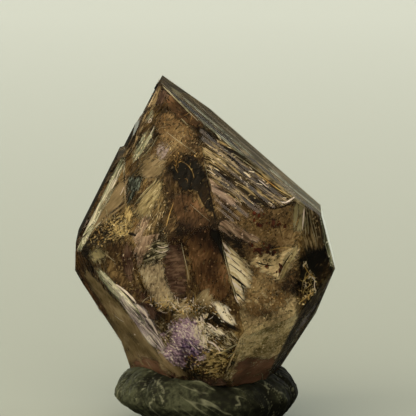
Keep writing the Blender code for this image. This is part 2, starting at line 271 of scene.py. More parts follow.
# Films: kind, depth, two places that give the way of the grain, grain length over width,
# outline.
SHEETS = (
    ("rhomb_front_left", (
        ("plum_smoke", 0.42, (150, 120, 162, 92), 3, (160, 84, 165, 88, 168, 96, 165, 104, 158, 106,
          153, 102, 156, 92)),
        ("amber_stain", 0.45, (168, 98, 196, 120), 3, (168, 92, 180, 100, 192, 109, 200, 119, 201, 127,
          192, 128, 180, 120, 170, 112, 166, 102)),
        ("milky_quartz", 0.3, (133, 160, 154, 128), 6, (132, 160, 136, 148, 144, 136, 153, 126, 155, 130,
          150, 141, 143, 151, 136, 160)),
        ("milky_quartz", 0.28, (146, 121, 152, 110), 4, (145, 123, 147, 114, 152, 108, 154, 112,
          151, 120)),
        ("lilac_quartz", 0.3, (158, 155, 168, 146), 2, (156, 148, 160, 143, 166, 145, 170, 150, 167, 157,
          160, 160)),
        ("tan_haze", 0.46, (150, 130, 175, 112), 1.3, (156, 118, 166, 110, 182, 118, 196, 132, 202, 148,
          192, 158, 176, 150, 162, 140, 154, 130)),
        ("brown_smoke", 0.44, (138, 176, 162, 160), 3, (138, 176, 138, 166, 146, 157, 158, 154, 165, 158,
          165, 168, 160, 177, 150, 180)),
        ("blue_grey_crack", 0.38, (130, 200, 138, 180), 3, (125, 177, 133, 176, 144, 176, 141, 184,
          136, 192, 130, 205, 127, 202, 125, 189)),
        ("cream_feather", 0.36, (138, 209, 157, 180), 4, (133, 208, 142, 195, 150, 186, 159, 178,
          163, 186, 159, 197, 153, 208, 150, 218, 143, 220, 137, 214)),
        ("fluid_fan", 0.48, (142, 232, 158, 196), 5, (138, 213, 146, 217, 151, 208, 157, 197, 164, 192,
          168, 203, 164, 216, 160, 232, 146, 236, 138, 237, 140, 225)),
        ("rosy_clay", 0.36, (137, 240, 150, 215), 4, (133, 240, 136, 228, 143, 218, 150, 214, 150, 222,
          143, 232, 139, 242)),
        ("honey_iron", 0.32, (126, 222, 131, 206), 4, (123, 212, 127, 203, 132, 208, 134, 218, 132, 227,
          127, 222)),
        ("dark_smoke", 0.4, (180, 205, 200, 165), 2, (172, 166, 180, 159, 192, 157, 201, 163, 206, 178,
          210, 196, 213, 212, 209, 212, 203, 204, 198, 192, 190, 190, 182, 192, 176, 184, 172, 175)),
        ("amber_stain", 0.46, (182, 225, 192, 190), 3, (170, 196, 180, 192, 190, 194, 199, 202, 207, 212,
          213, 224, 200, 230, 186, 232, 176, 222, 170, 208)),
        # Painted light in the clear left rim.
        ("clear_edge", 0.28, (78, 246, 118, 168), 16, (76, 250, 79, 238, 88, 218, 100, 196, 110, 178,
          120, 160, 124, 158, 125, 166, 118, 182, 108, 200, 98, 220, 88, 238, 82, 249)),
        ("brown_smoke", 0.4, (90, 235, 125, 190), 6, (88, 240, 96, 222, 108, 200, 120, 182, 127, 176,
          128, 190, 124, 203, 112, 212, 100, 222, 92, 234)),
        ("goethite_tuft", 0.42, (90, 240, 128, 214), 2, (84, 247, 88, 236, 98, 225, 110, 217, 122, 212,
          130, 222, 132, 234, 120, 240, 100, 246)),
        ("smoky_edge", 0.14, (136, 140, 156, 96), 8, (157, 80, 161, 83, 159, 96, 152, 112, 144, 126,
          136, 142, 128, 156, 122, 156, 127, 144, 135, 126, 144, 106, 151, 92)),
        ("dark_smoke", 0.12, (128, 148, 144, 116), 8, (144, 112, 147, 114, 141, 127, 134, 141, 127, 151,
          123, 150, 129, 138, 137, 122)),
        # Painted light in the clear left rim, nearer the face.
        ("clear_edge", 0.14, (78, 246, 118, 168), 16, (75, 251, 79, 238, 89, 218, 100, 196, 110, 176,
          119, 160, 123, 158, 123, 164, 116, 178, 106, 196, 96, 216, 88, 236, 82, 250)),
    )),
    ("prism_front_left", (
        ("dark_smoke", 0.34, (76, 262, 88, 250), 2, (72, 264, 76, 254, 84, 246, 90, 246, 90, 254, 89, 264,
          80, 268)),
    )),
    ("rhomb_front_left", (
        ("dark_smoke", 0.36, (76, 252, 86, 244), 2, (74, 254, 80, 242, 88, 238, 94, 240, 92, 247,
          84, 251)),
    )),
    ("prism_front_left", (
        ("plum_smoke", 0.4, (126, 244, 130, 270), 5, (120, 246, 130, 242, 133, 256, 135, 276, 130, 286,
          124, 272, 120, 256)),
        # Painted highlight on the left corner.
        ("pale_cloud", 0.38, (92, 256, 102, 252), 1, (90, 256, 93, 250, 99, 249, 104, 252, 104, 258,
          99, 262, 93, 261)),
        ("dusky_haze", 0.5, (106, 300, 130, 250), 3, (104, 246, 118, 242, 132, 240, 136, 256, 138, 272,
          142, 290, 140, 304, 128, 298, 114, 284, 104, 268)),
        ("plum_smoke", 0.46, (136, 290, 158, 318), 3, (128, 290, 138, 286, 146, 296, 154, 304, 160, 314,
          156, 322, 146, 320, 136, 308)),
        ("rosy_clay", 0.38, (138, 266, 146, 238), 5, (139, 238, 146, 230, 154, 226, 159, 231, 157, 239,
          150, 245, 144, 256, 141, 266, 136, 264, 135, 250)),
        ("grey_fibres", 0.4, (140, 260, 168, 248), 7, (139, 262, 144, 249, 152, 242, 163, 239, 169, 243,
          168, 256, 161, 262, 150, 266)),
        ("tan_clay", 0.36, (150, 290, 156, 264), 2, (139, 268, 146, 264, 154, 262, 162, 261, 164, 274,
          167, 286, 172, 296, 171, 304, 163, 308, 155, 303, 149, 294, 143, 279)),
        ("plum_smoke", 0.42, (164, 280, 188, 276), 4, (163, 264, 167, 246, 171, 238, 182, 238, 185, 255,
          188, 272, 189, 288, 184, 300, 173, 300, 166, 290, 164, 276)),
        ("dusky_haze", 0.36, (186, 300, 190, 270), 5, (184, 262, 188, 262, 192, 280, 194, 298, 190, 304,
          185, 300, 187, 284)),
        ("amber_stain", 0.47, (196, 290, 206, 235), 3, (185, 233, 205, 229, 217, 229, 225, 258, 231, 288,
          227, 302, 214, 300, 202, 296, 194, 282, 188, 256)),
        ("dark_smoke", 0.34, (212, 236, 222, 262), 5, (208, 229, 214, 229, 220, 230, 225, 248, 228, 266,
          224, 262, 217, 246, 211, 240)),
        ("crackled_quartz", 0.44, (156, 312, 190, 298), 2, (146, 302, 154, 295, 166, 291, 178, 298,
          190, 300, 200, 304, 204, 312, 190, 315, 172, 313, 157, 311)),
        ("silver_film", 0.34, (214, 300, 233, 324), 4, (212, 302, 219, 302, 228, 310, 236, 321, 232, 326,
          222, 320)),
        ("dark_smoke", 0.3, (207, 314, 234, 330), 4, (206, 313, 213, 313, 224, 322, 236, 327, 238, 331,
          227, 329, 214, 323)),
        ("brown_smoke", 0.46, (180, 318, 214, 292), 5, (170, 312, 184, 300, 200, 292, 212, 290, 214, 302,
          206, 316, 196, 322, 180, 322)),
    )),
    ("rhomb_front_right", (
        ("striated_quartz", 0.42, (202, 130, 299, 195), 16, (201, 124, 225, 142, 255, 165, 280, 184,
          296, 197, 290, 202, 272, 206, 255, 205, 240, 203, 222, 197, 209, 185, 205, 165, 202, 142)),
        ("rosy_clay", 0.32, (206, 176, 240, 203), 9, (206, 174, 212, 179, 219, 187, 227, 195, 241, 202,
          234, 206, 222, 202, 213, 193, 207, 184)),
    )),
    ("prism_front_right", (
        ("rosy_clay", 0.34, (214, 210, 250, 238), 9, (214, 211, 222, 216, 234, 224, 248, 232, 262, 239,
          256, 243, 240, 240, 226, 233, 216, 223)),
        ("tan_haze", 0.46, (250, 240, 285, 218), 1.4, (236, 224, 250, 214, 270, 208, 290, 203, 302, 206,
          301, 226, 297, 246, 284, 248, 268, 250, 254, 252, 242, 244)),
        ("pale_cloud", 0.36, (297, 228, 300, 205), 4, (293, 206, 299, 200, 305, 204, 305, 220, 303, 232,
          297, 232, 293, 222)),
        ("barred_quartz", 0.3, (232, 255, 252, 272), 9, (221, 236, 227, 244, 236, 254, 250, 271, 251, 280,
          246, 293, 240, 303, 236, 308, 231, 292, 226, 270, 222, 252)),
        ("tan_haze", 0.38, (250, 256, 285, 248), 1.3, (238, 240, 252, 244, 266, 250, 284, 246, 298, 244,
          298, 262, 290, 276, 280, 284, 264, 282, 252, 276, 250, 262, 242, 252)),
        ("pale_haze", 0.33, (262, 262, 290, 252), 3, (252, 257, 262, 253, 276, 252, 290, 248, 298, 246,
          297, 256, 290, 268, 282, 280, 276, 280, 268, 274, 258, 270, 252, 264)),
        ("cream_feather", 0.29, (280, 278, 296, 250), 6, (286, 256, 292, 249, 298, 247, 297, 256,
          289, 269, 282, 279, 279, 277, 282, 266)),
        ("tan_haze", 0.42, (250, 300, 270, 284), 1.2, (250, 272, 262, 276, 280, 280, 292, 270, 296, 282,
          290, 300, 278, 312, 262, 318, 250, 318, 243, 306)),
        ("olive_haze", 0.48, (240, 330, 262, 310), 1.2, (238, 312, 246, 298, 262, 290, 284, 288, 297, 296,
          297, 316, 284, 328, 268, 334, 250, 340, 238, 334)),
    )),
    ("under_front_right", (
        ("pale_haze", 0.5, (250, 375, 262, 340), 1.3, (236, 334, 262, 324, 284, 318, 300, 314, 292, 334,
          278, 358, 264, 380, 248, 384, 226, 380, 230, 350)),
        ("pale_haze", 0.42, (262, 340, 290, 330), 1.3, (242, 342, 250, 334, 262, 334, 272, 328, 280, 336,
          274, 350, 266, 360, 254, 364, 242, 360)),
        ("cream_feather", 0.46, (240, 370, 262, 340), 2.0, (252, 330, 262, 326, 272, 330, 268, 344,
          258, 352, 250, 344)),
        ("red_earth", 0.36, (240, 378, 268, 366), 3, (236, 364, 244, 358, 256, 356, 268, 360, 278, 354,
          272, 370, 264, 388, 246, 389, 230, 386)),
    )),
    ("bevel_right", (
        ("smoky_edge", 0.36, (314, 210, 322, 250), 8, (306, 206, 314, 208, 320, 218, 324, 238, 327, 250,
          318, 250, 306, 254, 304, 238, 305, 222)),
        ("dark_smoke", 0.32, (300, 290, 325, 255), 2, (299, 262, 306, 252, 320, 249, 327, 249, 331, 264,
          326, 276, 316, 288, 304, 296, 298, 290, 298, 276)),
        ("dark_smoke", 0.34, (300, 316, 324, 284), 4, (318, 286, 324, 280, 326, 286, 318, 300, 304, 318,
          298, 318, 302, 306, 310, 296)),
        # Painted light in the clear right rim.
        ("clear_edge", 0.26, (322, 216, 332, 262), 14, (319, 211, 323, 216, 328, 236, 333, 258, 334, 268,
          331, 268, 328, 256, 324, 238, 321, 224)),
    )),
    ("under_left", (
        # Painted light along the lower left ridge.
        ("clear_edge", 0.3, (98, 275, 142, 320), 12, (96, 268, 108, 275, 122, 288, 136, 302, 148, 316,
          154, 326, 148, 328, 136, 318, 122, 304, 108, 288, 98, 276)),
        ("brown_smoke", 0.46, (110, 310, 150, 370), 3, (84, 266, 100, 284, 124, 308, 140, 326, 156, 352,
          172, 374, 166, 384, 140, 384, 130, 368, 118, 340, 100, 310, 84, 284)),
        ("red_earth", 0.4, (130, 370, 170, 380), 3, (132, 362, 148, 356, 162, 364, 176, 382, 168, 384,
          140, 384, 131, 378)),
        ("amber_stain", 0.3, (82, 280, 104, 312), 4, (76, 268, 82, 272, 92, 290, 104, 306, 110, 318,
          104, 318, 92, 302, 80, 284)),
    )),
    # Painted highlight along the lower left ridge, here and in the next two groups.
    ("prism_front_left", (
        ("clear_edge", 0.3, (104, 272, 134, 302), 12, (95, 270, 107, 279, 121, 290, 133, 302, 137, 309,
          132, 308, 118, 298, 103, 284)),
        ("white_veil", 0.26, (114, 282, 134, 302), 12, (115, 288, 125, 294, 136, 304, 138, 310,
          130, 307)),
    )),
    ("under_front", (
        ("white_veil", 0.27, (136, 308, 158, 340), 12, (134, 306, 140, 305, 150, 317, 160, 333, 167, 349,
          160, 348, 148, 331, 138, 315)),
    )),
    ("under_left", (
        ("white_veil", 0.27, (122, 296, 156, 344), 12, (112, 290, 122, 297, 133, 308, 146, 327, 156, 347,
          149, 344, 138, 327, 124, 307)),
    )),
    ("under_front", (
        ("violet_amethyst", 0.42, (150, 330, 205, 330), 1.2, (162, 332, 172, 322, 184, 318, 196, 320,
          204, 330, 208, 344, 206, 358, 196, 366, 182, 368, 168, 360, 156, 346)),
        ("deep_amethyst", 0.36, (180, 340, 200, 360), 1.5, (182, 342, 189, 337, 196, 344, 201, 353,
          197, 358, 189, 358, 182, 350)),
        ("crackled_quartz", 0.38, (150, 326, 170, 345), 2, (148, 322, 160, 318, 170, 326, 172, 340,
          166, 350, 156, 342)),
        ("crackled_quartz", 0.34, (206, 320, 236, 344), 3, (204, 318, 220, 324, 232, 332, 240, 343,
          228, 350, 212, 350, 204, 340)),
        ("silver_film", 0.26, (206, 322, 224, 334), 4, (204, 319, 211, 320, 219, 327, 225, 334, 218, 336,
          209, 330)),
        ("barred_quartz", 0.24, (198, 316, 203, 330), 3, (195, 313, 202, 313, 206, 321, 204, 331,
          199, 330, 196, 322)),
        ("barred_quartz", 0.23, (202, 334, 204, 345), 3, (200, 333, 206, 334, 207, 345, 202, 345)),
        ("brown_smoke", 0.46, (160, 356, 176, 376), 3, (156, 346, 164, 356, 176, 366, 188, 372, 190, 380,
          180, 384, 170, 374, 160, 362)),
        ("goethite_tuft", 0.42, (188, 366, 238, 352), 4, (184, 360, 198, 350, 214, 346, 232, 350,
          240, 356, 234, 368, 224, 376, 206, 378, 190, 374)),
        ("plum_smoke", 0.44, (180, 384, 226, 384), 3, (166, 370, 186, 377, 206, 381, 226, 378, 226, 386,
          205, 388, 180, 386)),
    )),
)

# Threads and cracks: kind, depth, width, path.
LINES = (
    ("rhomb_front_left", (
        ("goethite_needle", 0.28, 0.18, (173.4, 202, 171.5, 208, 169, 216, 166.5, 226)),
        ("pale_thread", 0.25, 0.14, (158, 136, 152, 146, 146, 153, 141, 158)),
        ("pale_thread", 0.25, 0.12, (166, 132, 178, 141, 197, 154)),
        ("pale_thread", 0.25, 0.22, (181, 118.5, 184, 121, 188, 125)),
        ("pale_thread", 0.2, 0.22, (163, 86, 175, 98, 187, 110, 198, 121)),
        ("white_thread", 0.24, 0.14, (148, 122, 150, 118, 152, 120, 150, 123, 147.5, 122)),
        ("white_thread", 0.24, 0.12, (150, 134, 153, 129, 154, 126)),
        ("pale_thread", 0.28, 0.12, (134, 205, 143, 193, 150, 186, 157, 178.5)),
        ("dark_crack", 0.26, 0.14, (135.5, 206.5, 144.5, 194.5, 151, 187, 158, 180)),
        ("goethite_needle", 0.28, 0.09, (174, 159, 177, 163, 175, 168, 178, 173)),
        ("goethite_needle", 0.28, 0.1, (181, 161, 188, 165, 193, 172, 194, 178)),
        ("dark_crack", 0.28, 0.14, (184, 190, 182, 197, 183, 205, 187, 210)),
        ("dark_crack", 0.24, 0.34, (205, 166, 208, 184, 212, 203, 216, 224)),
        ("pale_thread", 0.22, 0.1, (203, 150, 206, 170, 208, 182)),
        ("pale_thread", 0.22, 0.06, (190, 204, 198, 211, 210, 222)),
        ("white_thread", 0.24, 0.16, (121, 196, 124, 189, 125, 186)),
        ("white_thread", 0.22, 0.12, (100, 205, 108, 192, 116, 178)),
        ("white_thread", 0.22, 0.12, (84, 232, 92, 216, 98, 206)),
        ("white_thread", 0.22, 0.14, (112, 190, 117, 180, 120, 170)),
        ("white_thread", 0.24, 0.3, (86.5, 230, 87.2, 235, 88, 239)),
        ("pale_thread", 0.24, 0.14, (92, 228, 100, 223, 108, 219)),
        ("dark_crack", 0.26, 0.5, (128, 233, 132, 234, 136, 236)),
    )),
    ("prism_front_left", (
        ("pale_thread", 0.25, 0.12, (181, 243, 184, 256, 187, 268, 189, 280)),
        ("pale_thread", 0.22, 0.12, (222, 244, 226, 262, 231, 281, 236, 300)),
        ("pale_thread", 0.24, 0.1, (170, 322, 182, 314, 194, 304, 204, 292)),
        ("pale_thread", 0.24, 0.1, (184, 330, 194, 316, 202, 304, 208, 292)),
        ("pale_thread", 0.24, 0.1, (104, 252, 110, 258, 115, 262)),
        ("white_thread", 0.25, 0.14, (157, 246, 162, 248, 168, 246)),
        ("white_thread", 0.25, 0.12, (155, 250, 161, 253, 168, 250)),
        ("goethite_needle", 0.28, 0.12, (157, 310, 162, 306, 166, 301)),
        ("pale_thread", 0.28, 0.12, (142, 303, 144, 300, 148, 297)),
        ("white_thread", 0.28, 0.12, (172, 306, 176, 309, 179, 312)),
    )),
    ("prism_front_right", (
        ("dark_crack", 0.24, 0.42, (230, 274, 238, 281, 246, 287)),
        ("dark_crack", 0.24, 0.26, (233, 290, 238, 295, 243, 300)),
        ("dark_crack", 0.24, 0.14, (227, 262, 238, 270, 249, 279)),
        ("dark_crack", 0.24, 0.14, (225, 252, 232, 259, 240, 266)),
        ("dark_crack", 0.24, 0.2, (240, 281, 243, 290, 244, 294)),
        ("white_thread", 0.26, 0.3, (223, 242, 227, 248, 231, 254)),
        ("white_thread", 0.26, 0.3, (224, 250, 229, 256, 234, 261)),
        ("white_thread", 0.26, 0.42, (231, 281, 236, 285, 242, 290)),
        ("white_thread", 0.26, 0.4, (233, 296, 236, 300, 239, 303)),
        ("pale_thread", 0.22, 0.12, (222, 236, 226, 256, 230, 276, 236, 304)),
    )),
    # Painted highlight along the lower left ridge, as white threads, here and in the next two groups.
    ("prism_front_left", (
        ("white_thread", 0.22, 0.45, (116, 284, 124, 290, 132, 298, 136, 303)),
    )),
    ("under_front", (
        ("white_thread", 0.22, 0.6, (137, 305, 144, 313, 152, 324, 158, 335)),
    )),
    ("under_left", (
        ("white_thread", 0.22, 0.3, (130, 312, 140, 322, 152, 336)),
        ("white_thread", 0.22, 0.16, (142, 328, 152, 340, 160, 350)),
        ("white_thread", 0.25, 0.18, (104, 279, 112, 287, 122, 297)),
        ("white_thread", 0.25, 0.1, (114, 315, 119, 319, 124, 322)),
        ("white_thread", 0.25, 0.3, (133.5, 334, 134.5, 335, 135.5, 334.5)),
    )),
    ("under_front", (
        ("white_thread", 0.2, 0.4, (208, 342, 213, 343, 217, 347, 220, 352)),
        ("white_thread", 0.19, 0.5, (199, 317, 201, 322, 203, 327)),
        ("white_thread", 0.19, 0.45, (203, 335, 204, 340, 203.5, 344)),
        ("white_thread", 0.2, 0.3, (206, 323, 212, 327, 218, 332)),
        ("white_thread", 0.2, 0.25, (170, 345, 173, 347, 176, 349)),
        ("white_thread", 0.2, 0.2, (188, 340, 192, 346, 197, 350)),
        ("pale_thread", 0.2, 0.25, (222, 352, 230, 348, 238, 344)),
        ("pale_thread", 0.2, 0.2, (228, 358, 234, 352, 240, 350)),
    )),
    ("prism_front_right", (
        ("dark_crack", 0.24, 0.24, (256, 262, 262, 264, 268, 265, 274, 266)),
        ("dark_crack", 0.24, 0.2, (278, 278, 282, 268, 288, 258, 293, 251)),
        ("goethite_needle", 0.24, 0.1, (262, 252, 272, 250, 284, 247, 293, 249)),
    )),
    ("under_left", (
        ("dark_crack", 0.26, 0.16, (128, 304, 138, 314, 146, 324)),
    )),
    ("bevel_right", (
        ("goethite_needle", 0.22, 0.2, (303.5, 262, 305, 267, 308, 272, 312, 276, 316, 278.5)),
        ("goethite_needle", 0.22, 0.2, (310, 274, 307, 277, 304.5, 280, 306, 284)),
        ("white_thread", 0.22, 0.2, (311, 276, 315, 280, 314, 287, 316, 292)),
        ("goethite_needle", 0.22, 0.24, (299, 303, 303, 299.5, 308, 296, 314, 291)),
        ("goethite_needle", 0.22, 0.14, (305, 290, 308, 287, 312, 284)),
        ("pale_thread", 0.25, 0.12, (309, 209, 311, 222, 315, 238, 317, 248)),
        ("pale_thread", 0.25, 0.12, (306.5, 209, 308, 222, 309, 234)),
        ("pale_thread", 0.25, 0.1, (311.5, 211, 314, 225, 318, 240)),
        ("pale_thread", 0.25, 0.1, (305, 214, 305, 226, 306, 236)),
    )),
    ("prism_front_right", (
        ("white_thread", 0.25, 0.24, (304, 208, 303.5, 218, 302, 230)),
        ("pale_thread", 0.25, 0.14, (298, 208, 297, 218, 294, 228)),
    )),
    ("rhomb_front_right", (
        ("goethite_needle", 0.26, 0.22, (243, 147, 258, 160, 275, 175, 293, 194)),
        ("goethite_needle", 0.28, 0.2, (255, 172, 266, 180, 280, 190, 292, 197)),
        ("pale_thread", 0.26, 0.3, (202, 119, 210, 127, 220, 136)),
        ("pale_thread", 0.28, 0.16, (225, 149, 240, 158, 262, 174)),
        ("white_thread", 0.28, 0.18, (258, 179, 262, 182, 268, 187)),
        ("white_thread", 0.28, 0.24, (281, 201, 284, 203, 290, 200, 298, 195)),
        ("dark_crack", 0.26, 0.3, (266, 206, 276, 208.5, 286, 206, 296, 200)),
        ("dark_crack", 0.26, 0.6, (207, 132, 212, 138, 219, 144)),
        ("dark_crack", 0.26, 0.55, (226, 153, 236, 161, 247, 169)),
        ("dark_crack", 0.26, 0.36, (255, 163, 261, 169, 267, 175)),
        ("dark_crack", 0.26, 0.2, (232, 172, 244, 182, 256, 190)),
    )),
)

# Scales: kind, depth, how many, size, width over length, two places that give the way they
# lie (or None, anyhow), outline.
FLAKES = (
    ("rhomb_front_left", (
        ("goethite_flake", 0.25, 60, 0.12, 0.45, None, (88, 243, 92, 232, 100, 224, 112, 216, 124, 214,
          130, 224, 128, 236, 112, 241, 98, 244)),
    )),
    ("under_front", (
        ("goethite_flake", 0.22, 50, 0.26, 0.3, (188, 366, 238, 352), (186, 352, 210, 345, 236, 350,
          232, 366, 216, 376, 192, 374)),
        ("silver_flake", 0.2, 60, 0.28, 0.35, (196, 318, 236, 336), (194, 320, 215, 322, 236, 340,
          222, 350, 200, 350, 190, 336)),
        ("silver_flake", 0.2, 60, 0.3, 0.5, None, (194, 314, 204, 316, 210, 332, 208, 348, 200, 352,
          194, 338)),
    )),
    ("prism_front_left", (
        ("silver_flake", 0.2, 30, 0.12, 0.8, None, (190, 300, 204, 298, 208, 314, 196, 316)),
    )),
    ("under_front", (
        ("lilac_flake", 0.22, 70, 0.13, 0.6, None, (150, 330, 164, 322, 196, 322, 208, 340, 200, 362,
          180, 362, 160, 346)),
    )),
    ("prism_front_right", (
        ("hematite_flake", 0.22, 22, 0.34, 0.6, None, (250, 214, 262, 210, 284, 216, 286, 228, 268, 228,
          252, 224)),
        ("hematite_flake", 0.22, 24, 0.42, 0.6, None, (246, 240, 258, 240, 272, 248, 278, 254, 262, 256,
          250, 250)),
        ("hematite_flake", 0.22, 10, 0.24, 0.6, None, (262, 262, 272, 262, 283, 266, 280, 274, 266, 268)),
    )),
    ("prism_front_left", (
        ("hematite_flake", 0.22, 20, 0.14, 0.6, None, (190, 236, 216, 232, 226, 262, 228, 290, 204, 290)),
    )),
    ("prism_front_right", (
        ("dark_flake", 0.24, 24, 0.16, 0.6, None, (240, 240, 290, 225, 300, 240, 290, 300, 250, 318,
          246, 290)),
    )),
    ("rhomb_front_left", (
        ("dark_flake", 0.24, 26, 0.18, 0.6, None, (150, 125, 168, 104, 198, 124, 203, 160, 170, 160,
          140, 176)),
    )),
    ("prism_front_left", (
        ("goethite_flake", 0.24, 40, 0.2, 0.35, None, (140, 304, 160, 296, 200, 302, 220, 308, 224, 318,
          190, 314)),
    )),
    ("rhomb_front_left", (
        ("goethite_flake", 0.24, 36, 0.14, 0.35, None, (160, 120, 185, 130, 202, 160, 205, 185, 180, 190,
          165, 160)),
    )),
    ("bevel_right", (
        ("goethite_flake", 0.22, 26, 0.16, 0.5, None, (296, 296, 306, 282, 316, 278, 318, 290, 306, 300,
          298, 306)),
        ("cream_flake", 0.21, 40, 0.15, 0.6, None, (302, 261, 305, 261, 311, 270, 317, 278, 315, 283,
          309, 276, 303, 268)),
        ("cream_flake", 0.21, 20, 0.13, 0.6, None, (303, 280, 309, 274, 312, 277, 306, 284, 306, 290,
          303, 288)),
        ("goethite_flake", 0.21, 40, 0.16, 0.5, None, (298, 304, 306, 294, 314, 288, 317, 292, 308, 300,
          300, 307)),
        ("cream_flake", 0.21, 14, 0.16, 0.6, None, (312, 288, 318, 286, 318, 294, 314, 296)),
    )),
    ("prism_front_right", (
        ("goethite_flake", 0.22, 24, 0.12, 0.6, None, (250, 280, 285, 278, 290, 300, 262, 318, 248, 310)),
    )),
    ("prism_front_left", (
        ("silver_flake", 0.22, 24, 0.26, 0.3, (210, 300, 232, 322), (208, 300, 228, 306, 238, 322,
          222, 322, 210, 312)),
    )),
    ("rhomb_front_right", (
        ("cream_flake", 0.28, 60, 0.45, 0.16, (202, 130, 299, 195), (201, 124, 225, 142, 255, 165,
          280, 184, 296, 197, 290, 202, 255, 205, 222, 197, 209, 185, 205, 165)),
        ("dark_flake", 0.27, 40, 0.6, 0.14, (202, 130, 299, 195), (201, 124, 225, 142, 255, 165, 280, 184,
          290, 198, 255, 203, 222, 190, 209, 180, 205, 165)),
    )),
    ("rhomb_front_left", (
        ("cream_flake", 0.26, 46, 0.3, 0.2, (142, 232, 158, 196), (136, 232, 140, 210, 160, 182, 166, 200,
          162, 230)),
    )),
    ("prism_front_left", (
        ("cream_flake", 0.26, 30, 0.22, 0.16, (140, 262, 166, 250), (139, 262, 145, 249, 152, 242,
          168, 242, 168, 256, 150, 266)),
    )),
    ("rhomb_front_left", (
        ("cream_flake", 0.24, 26, 0.18, 0.4, (133, 160, 154, 128), (132, 160, 140, 140, 152, 112,
          158, 118, 156, 132, 150, 150, 140, 160)),
    )),
    ("prism_front_left", (
        ("cream_flake", 0.24, 26, 0.14, 0.3, None, (104, 250, 134, 244, 138, 276, 140, 300, 116, 284)),
    )),
    ("under_front_right", (
        ("cream_flake", 0.24, 34, 0.12, 0.5, None, (242, 336, 286, 322, 276, 350, 258, 368, 238, 366)),
    )),
)

# Strewn hairs: kind, depth, how many, length, width, bend (radians), outline.
HAIRS = (
    ("rhomb_front_left", (
        ("goethite_needle", 0.24, 27, 1.0, 0.08, 0.9, (84, 244, 92, 230, 104, 221, 120, 213, 130, 220,
          130, 234, 112, 242)),
        ("pale_thread", 0.23, 30, 1.0, 0.06, 0.9, (84, 244, 92, 230, 104, 221, 120, 213, 130, 220,
          130, 234, 112, 242)),
        ("dark_crack", 0.22, 26, 1.0, 0.09, 0.8, (84, 244, 92, 230, 104, 221, 120, 213, 130, 220,
          130, 234, 112, 242)),
        ("goethite_needle", 0.24, 10, 1.0, 0.05, 0.9, (174, 158, 198, 157, 208, 180, 212, 205, 196, 200,
          178, 190)),
        ("dark_crack", 0.24, 18, 1.7, 0.08, 0.6, (174, 158, 198, 157, 208, 180, 212, 215, 190, 230,
          174, 200)),
        ("pale_thread", 0.24, 20, 1.2, 0.05, 0.4, (140, 140, 165, 100, 196, 124, 200, 155, 160, 170,
          136, 180)),
        ("goethite_needle", 0.24, 15, 1.0, 0.05, 0.5, (140, 140, 165, 100, 196, 124, 200, 155, 160, 170,
          136, 180)),
        ("pale_thread", 0.24, 15, 1.2, 0.05, 0.4, (136, 236, 145, 205, 165, 190, 174, 215, 168, 240)),
    )),
    ("prism_front_left", (
        ("goethite_needle", 0.24, 9, 0.9, 0.05, 0.6, (104, 250, 134, 244, 138, 276, 142, 300, 116, 284)),
        ("dark_crack", 0.24, 18, 1.0, 0.08, 0.6, (104, 250, 134, 244, 138, 276, 142, 300, 116, 284)),
        ("white_thread", 0.22, 30, 1.0, 0.06, 0.6, (144, 304, 160, 298, 196, 300, 206, 312, 180, 316,
          158, 312)),
        ("goethite_needle", 0.22, 36, 1.2, 0.07, 0.7, (144, 304, 160, 298, 196, 300, 206, 312, 180, 316,
          158, 312)),
    )),
    ("under_front", (
        ("white_thread", 0.2, 40, 0.9, 0.08, 0.8, (192, 318, 210, 316, 222, 334, 222, 350, 200, 356,
          190, 336)),
        ("white_thread", 0.2, 36, 1.2, 0.05, 0.7, (150, 330, 166, 322, 196, 322, 206, 344, 196, 362,
          166, 352)),
        ("goethite_needle", 0.2, 36, 1.0, 0.07, 0.9, (186, 350, 210, 344, 236, 348, 238, 366, 216, 376,
          188, 372)),
        ("pale_thread", 0.2, 24, 1.0, 0.05, 0.9, (186, 344, 210, 334, 238, 340, 238, 366, 216, 376,
          188, 370)),
    )),
    ("under_front_right", (
        ("pale_thread", 0.24, 24, 1.1, 0.05, 0.9, (242, 336, 286, 322, 280, 344, 262, 366, 238, 366)),
    )),
    ("prism_front_right", (
        ("pale_thread", 0.24, 24, 1.0, 0.05, 0.8, (240, 310, 256, 296, 292, 280, 294, 306, 262, 328)),
        ("goethite_needle", 0.24, 40, 1.2, 0.05, 0.7, (236, 226, 296, 206, 300, 240, 262, 250, 240, 244)),
        ("dark_crack", 0.24, 26, 1.2, 0.08, 0.7, (236, 226, 296, 206, 300, 240, 290, 290, 250, 310,
          240, 244)),
    )),
    ("bevel_right", (
        ("goethite_needle", 0.22, 30, 0.9, 0.07, 0.9, (300, 296, 304, 276, 314, 270, 320, 284, 306, 306)),
    )),
)

# Films in strips along the long right face, between its near edge (0) and its far one (1):
# kind, depth, across from and to, along from and to.  Each edge starts at its first place in
# the face (mm) and has run on by its second where along is 1.
NEAR_EDGE = np.array(((-9.0, 13.4), (-5.8, -16.4)))
FAR_EDGE = np.array(((10.0, 11.7), (-12.3, -18.9)))
STRIP_GRAIN = (57, 16)
STRIPS = (
    ("clear_edge", 0.3, 0.02, 0.12, -0.3, 0.5),
    ("cream_feather", 0.32, 0.0, 0.14, 0.45, 1.1),
    ("dark_smoke", 0.34, 0.14, 0.26, -0.3, 0.42),
    ("striated_quartz", 0.36, 0.2, 0.45, 0.1, 0.8),
    ("smoky_edge", 0.38, 0.15, 0.3, 0.5, 1.1),
    ("clear_edge", 0.31, 0.36, 0.5, -0.2, 0.5),
    ("smoky_edge", 0.33, 0.5, 0.62, -0.1, 0.6),
    ("clear_edge", 0.34, 0.46, 0.64, 0.62, 1.15),
    ("tan_clay", 0.35, 0.64, 0.74, -0.1, 0.7),
    ("smoky_edge", 0.3, 0.8, 0.98, -0.2, 0.75),
    ("blue_grey_crack", 0.32, 0.72, 0.9, 0.8, 1.2),
)
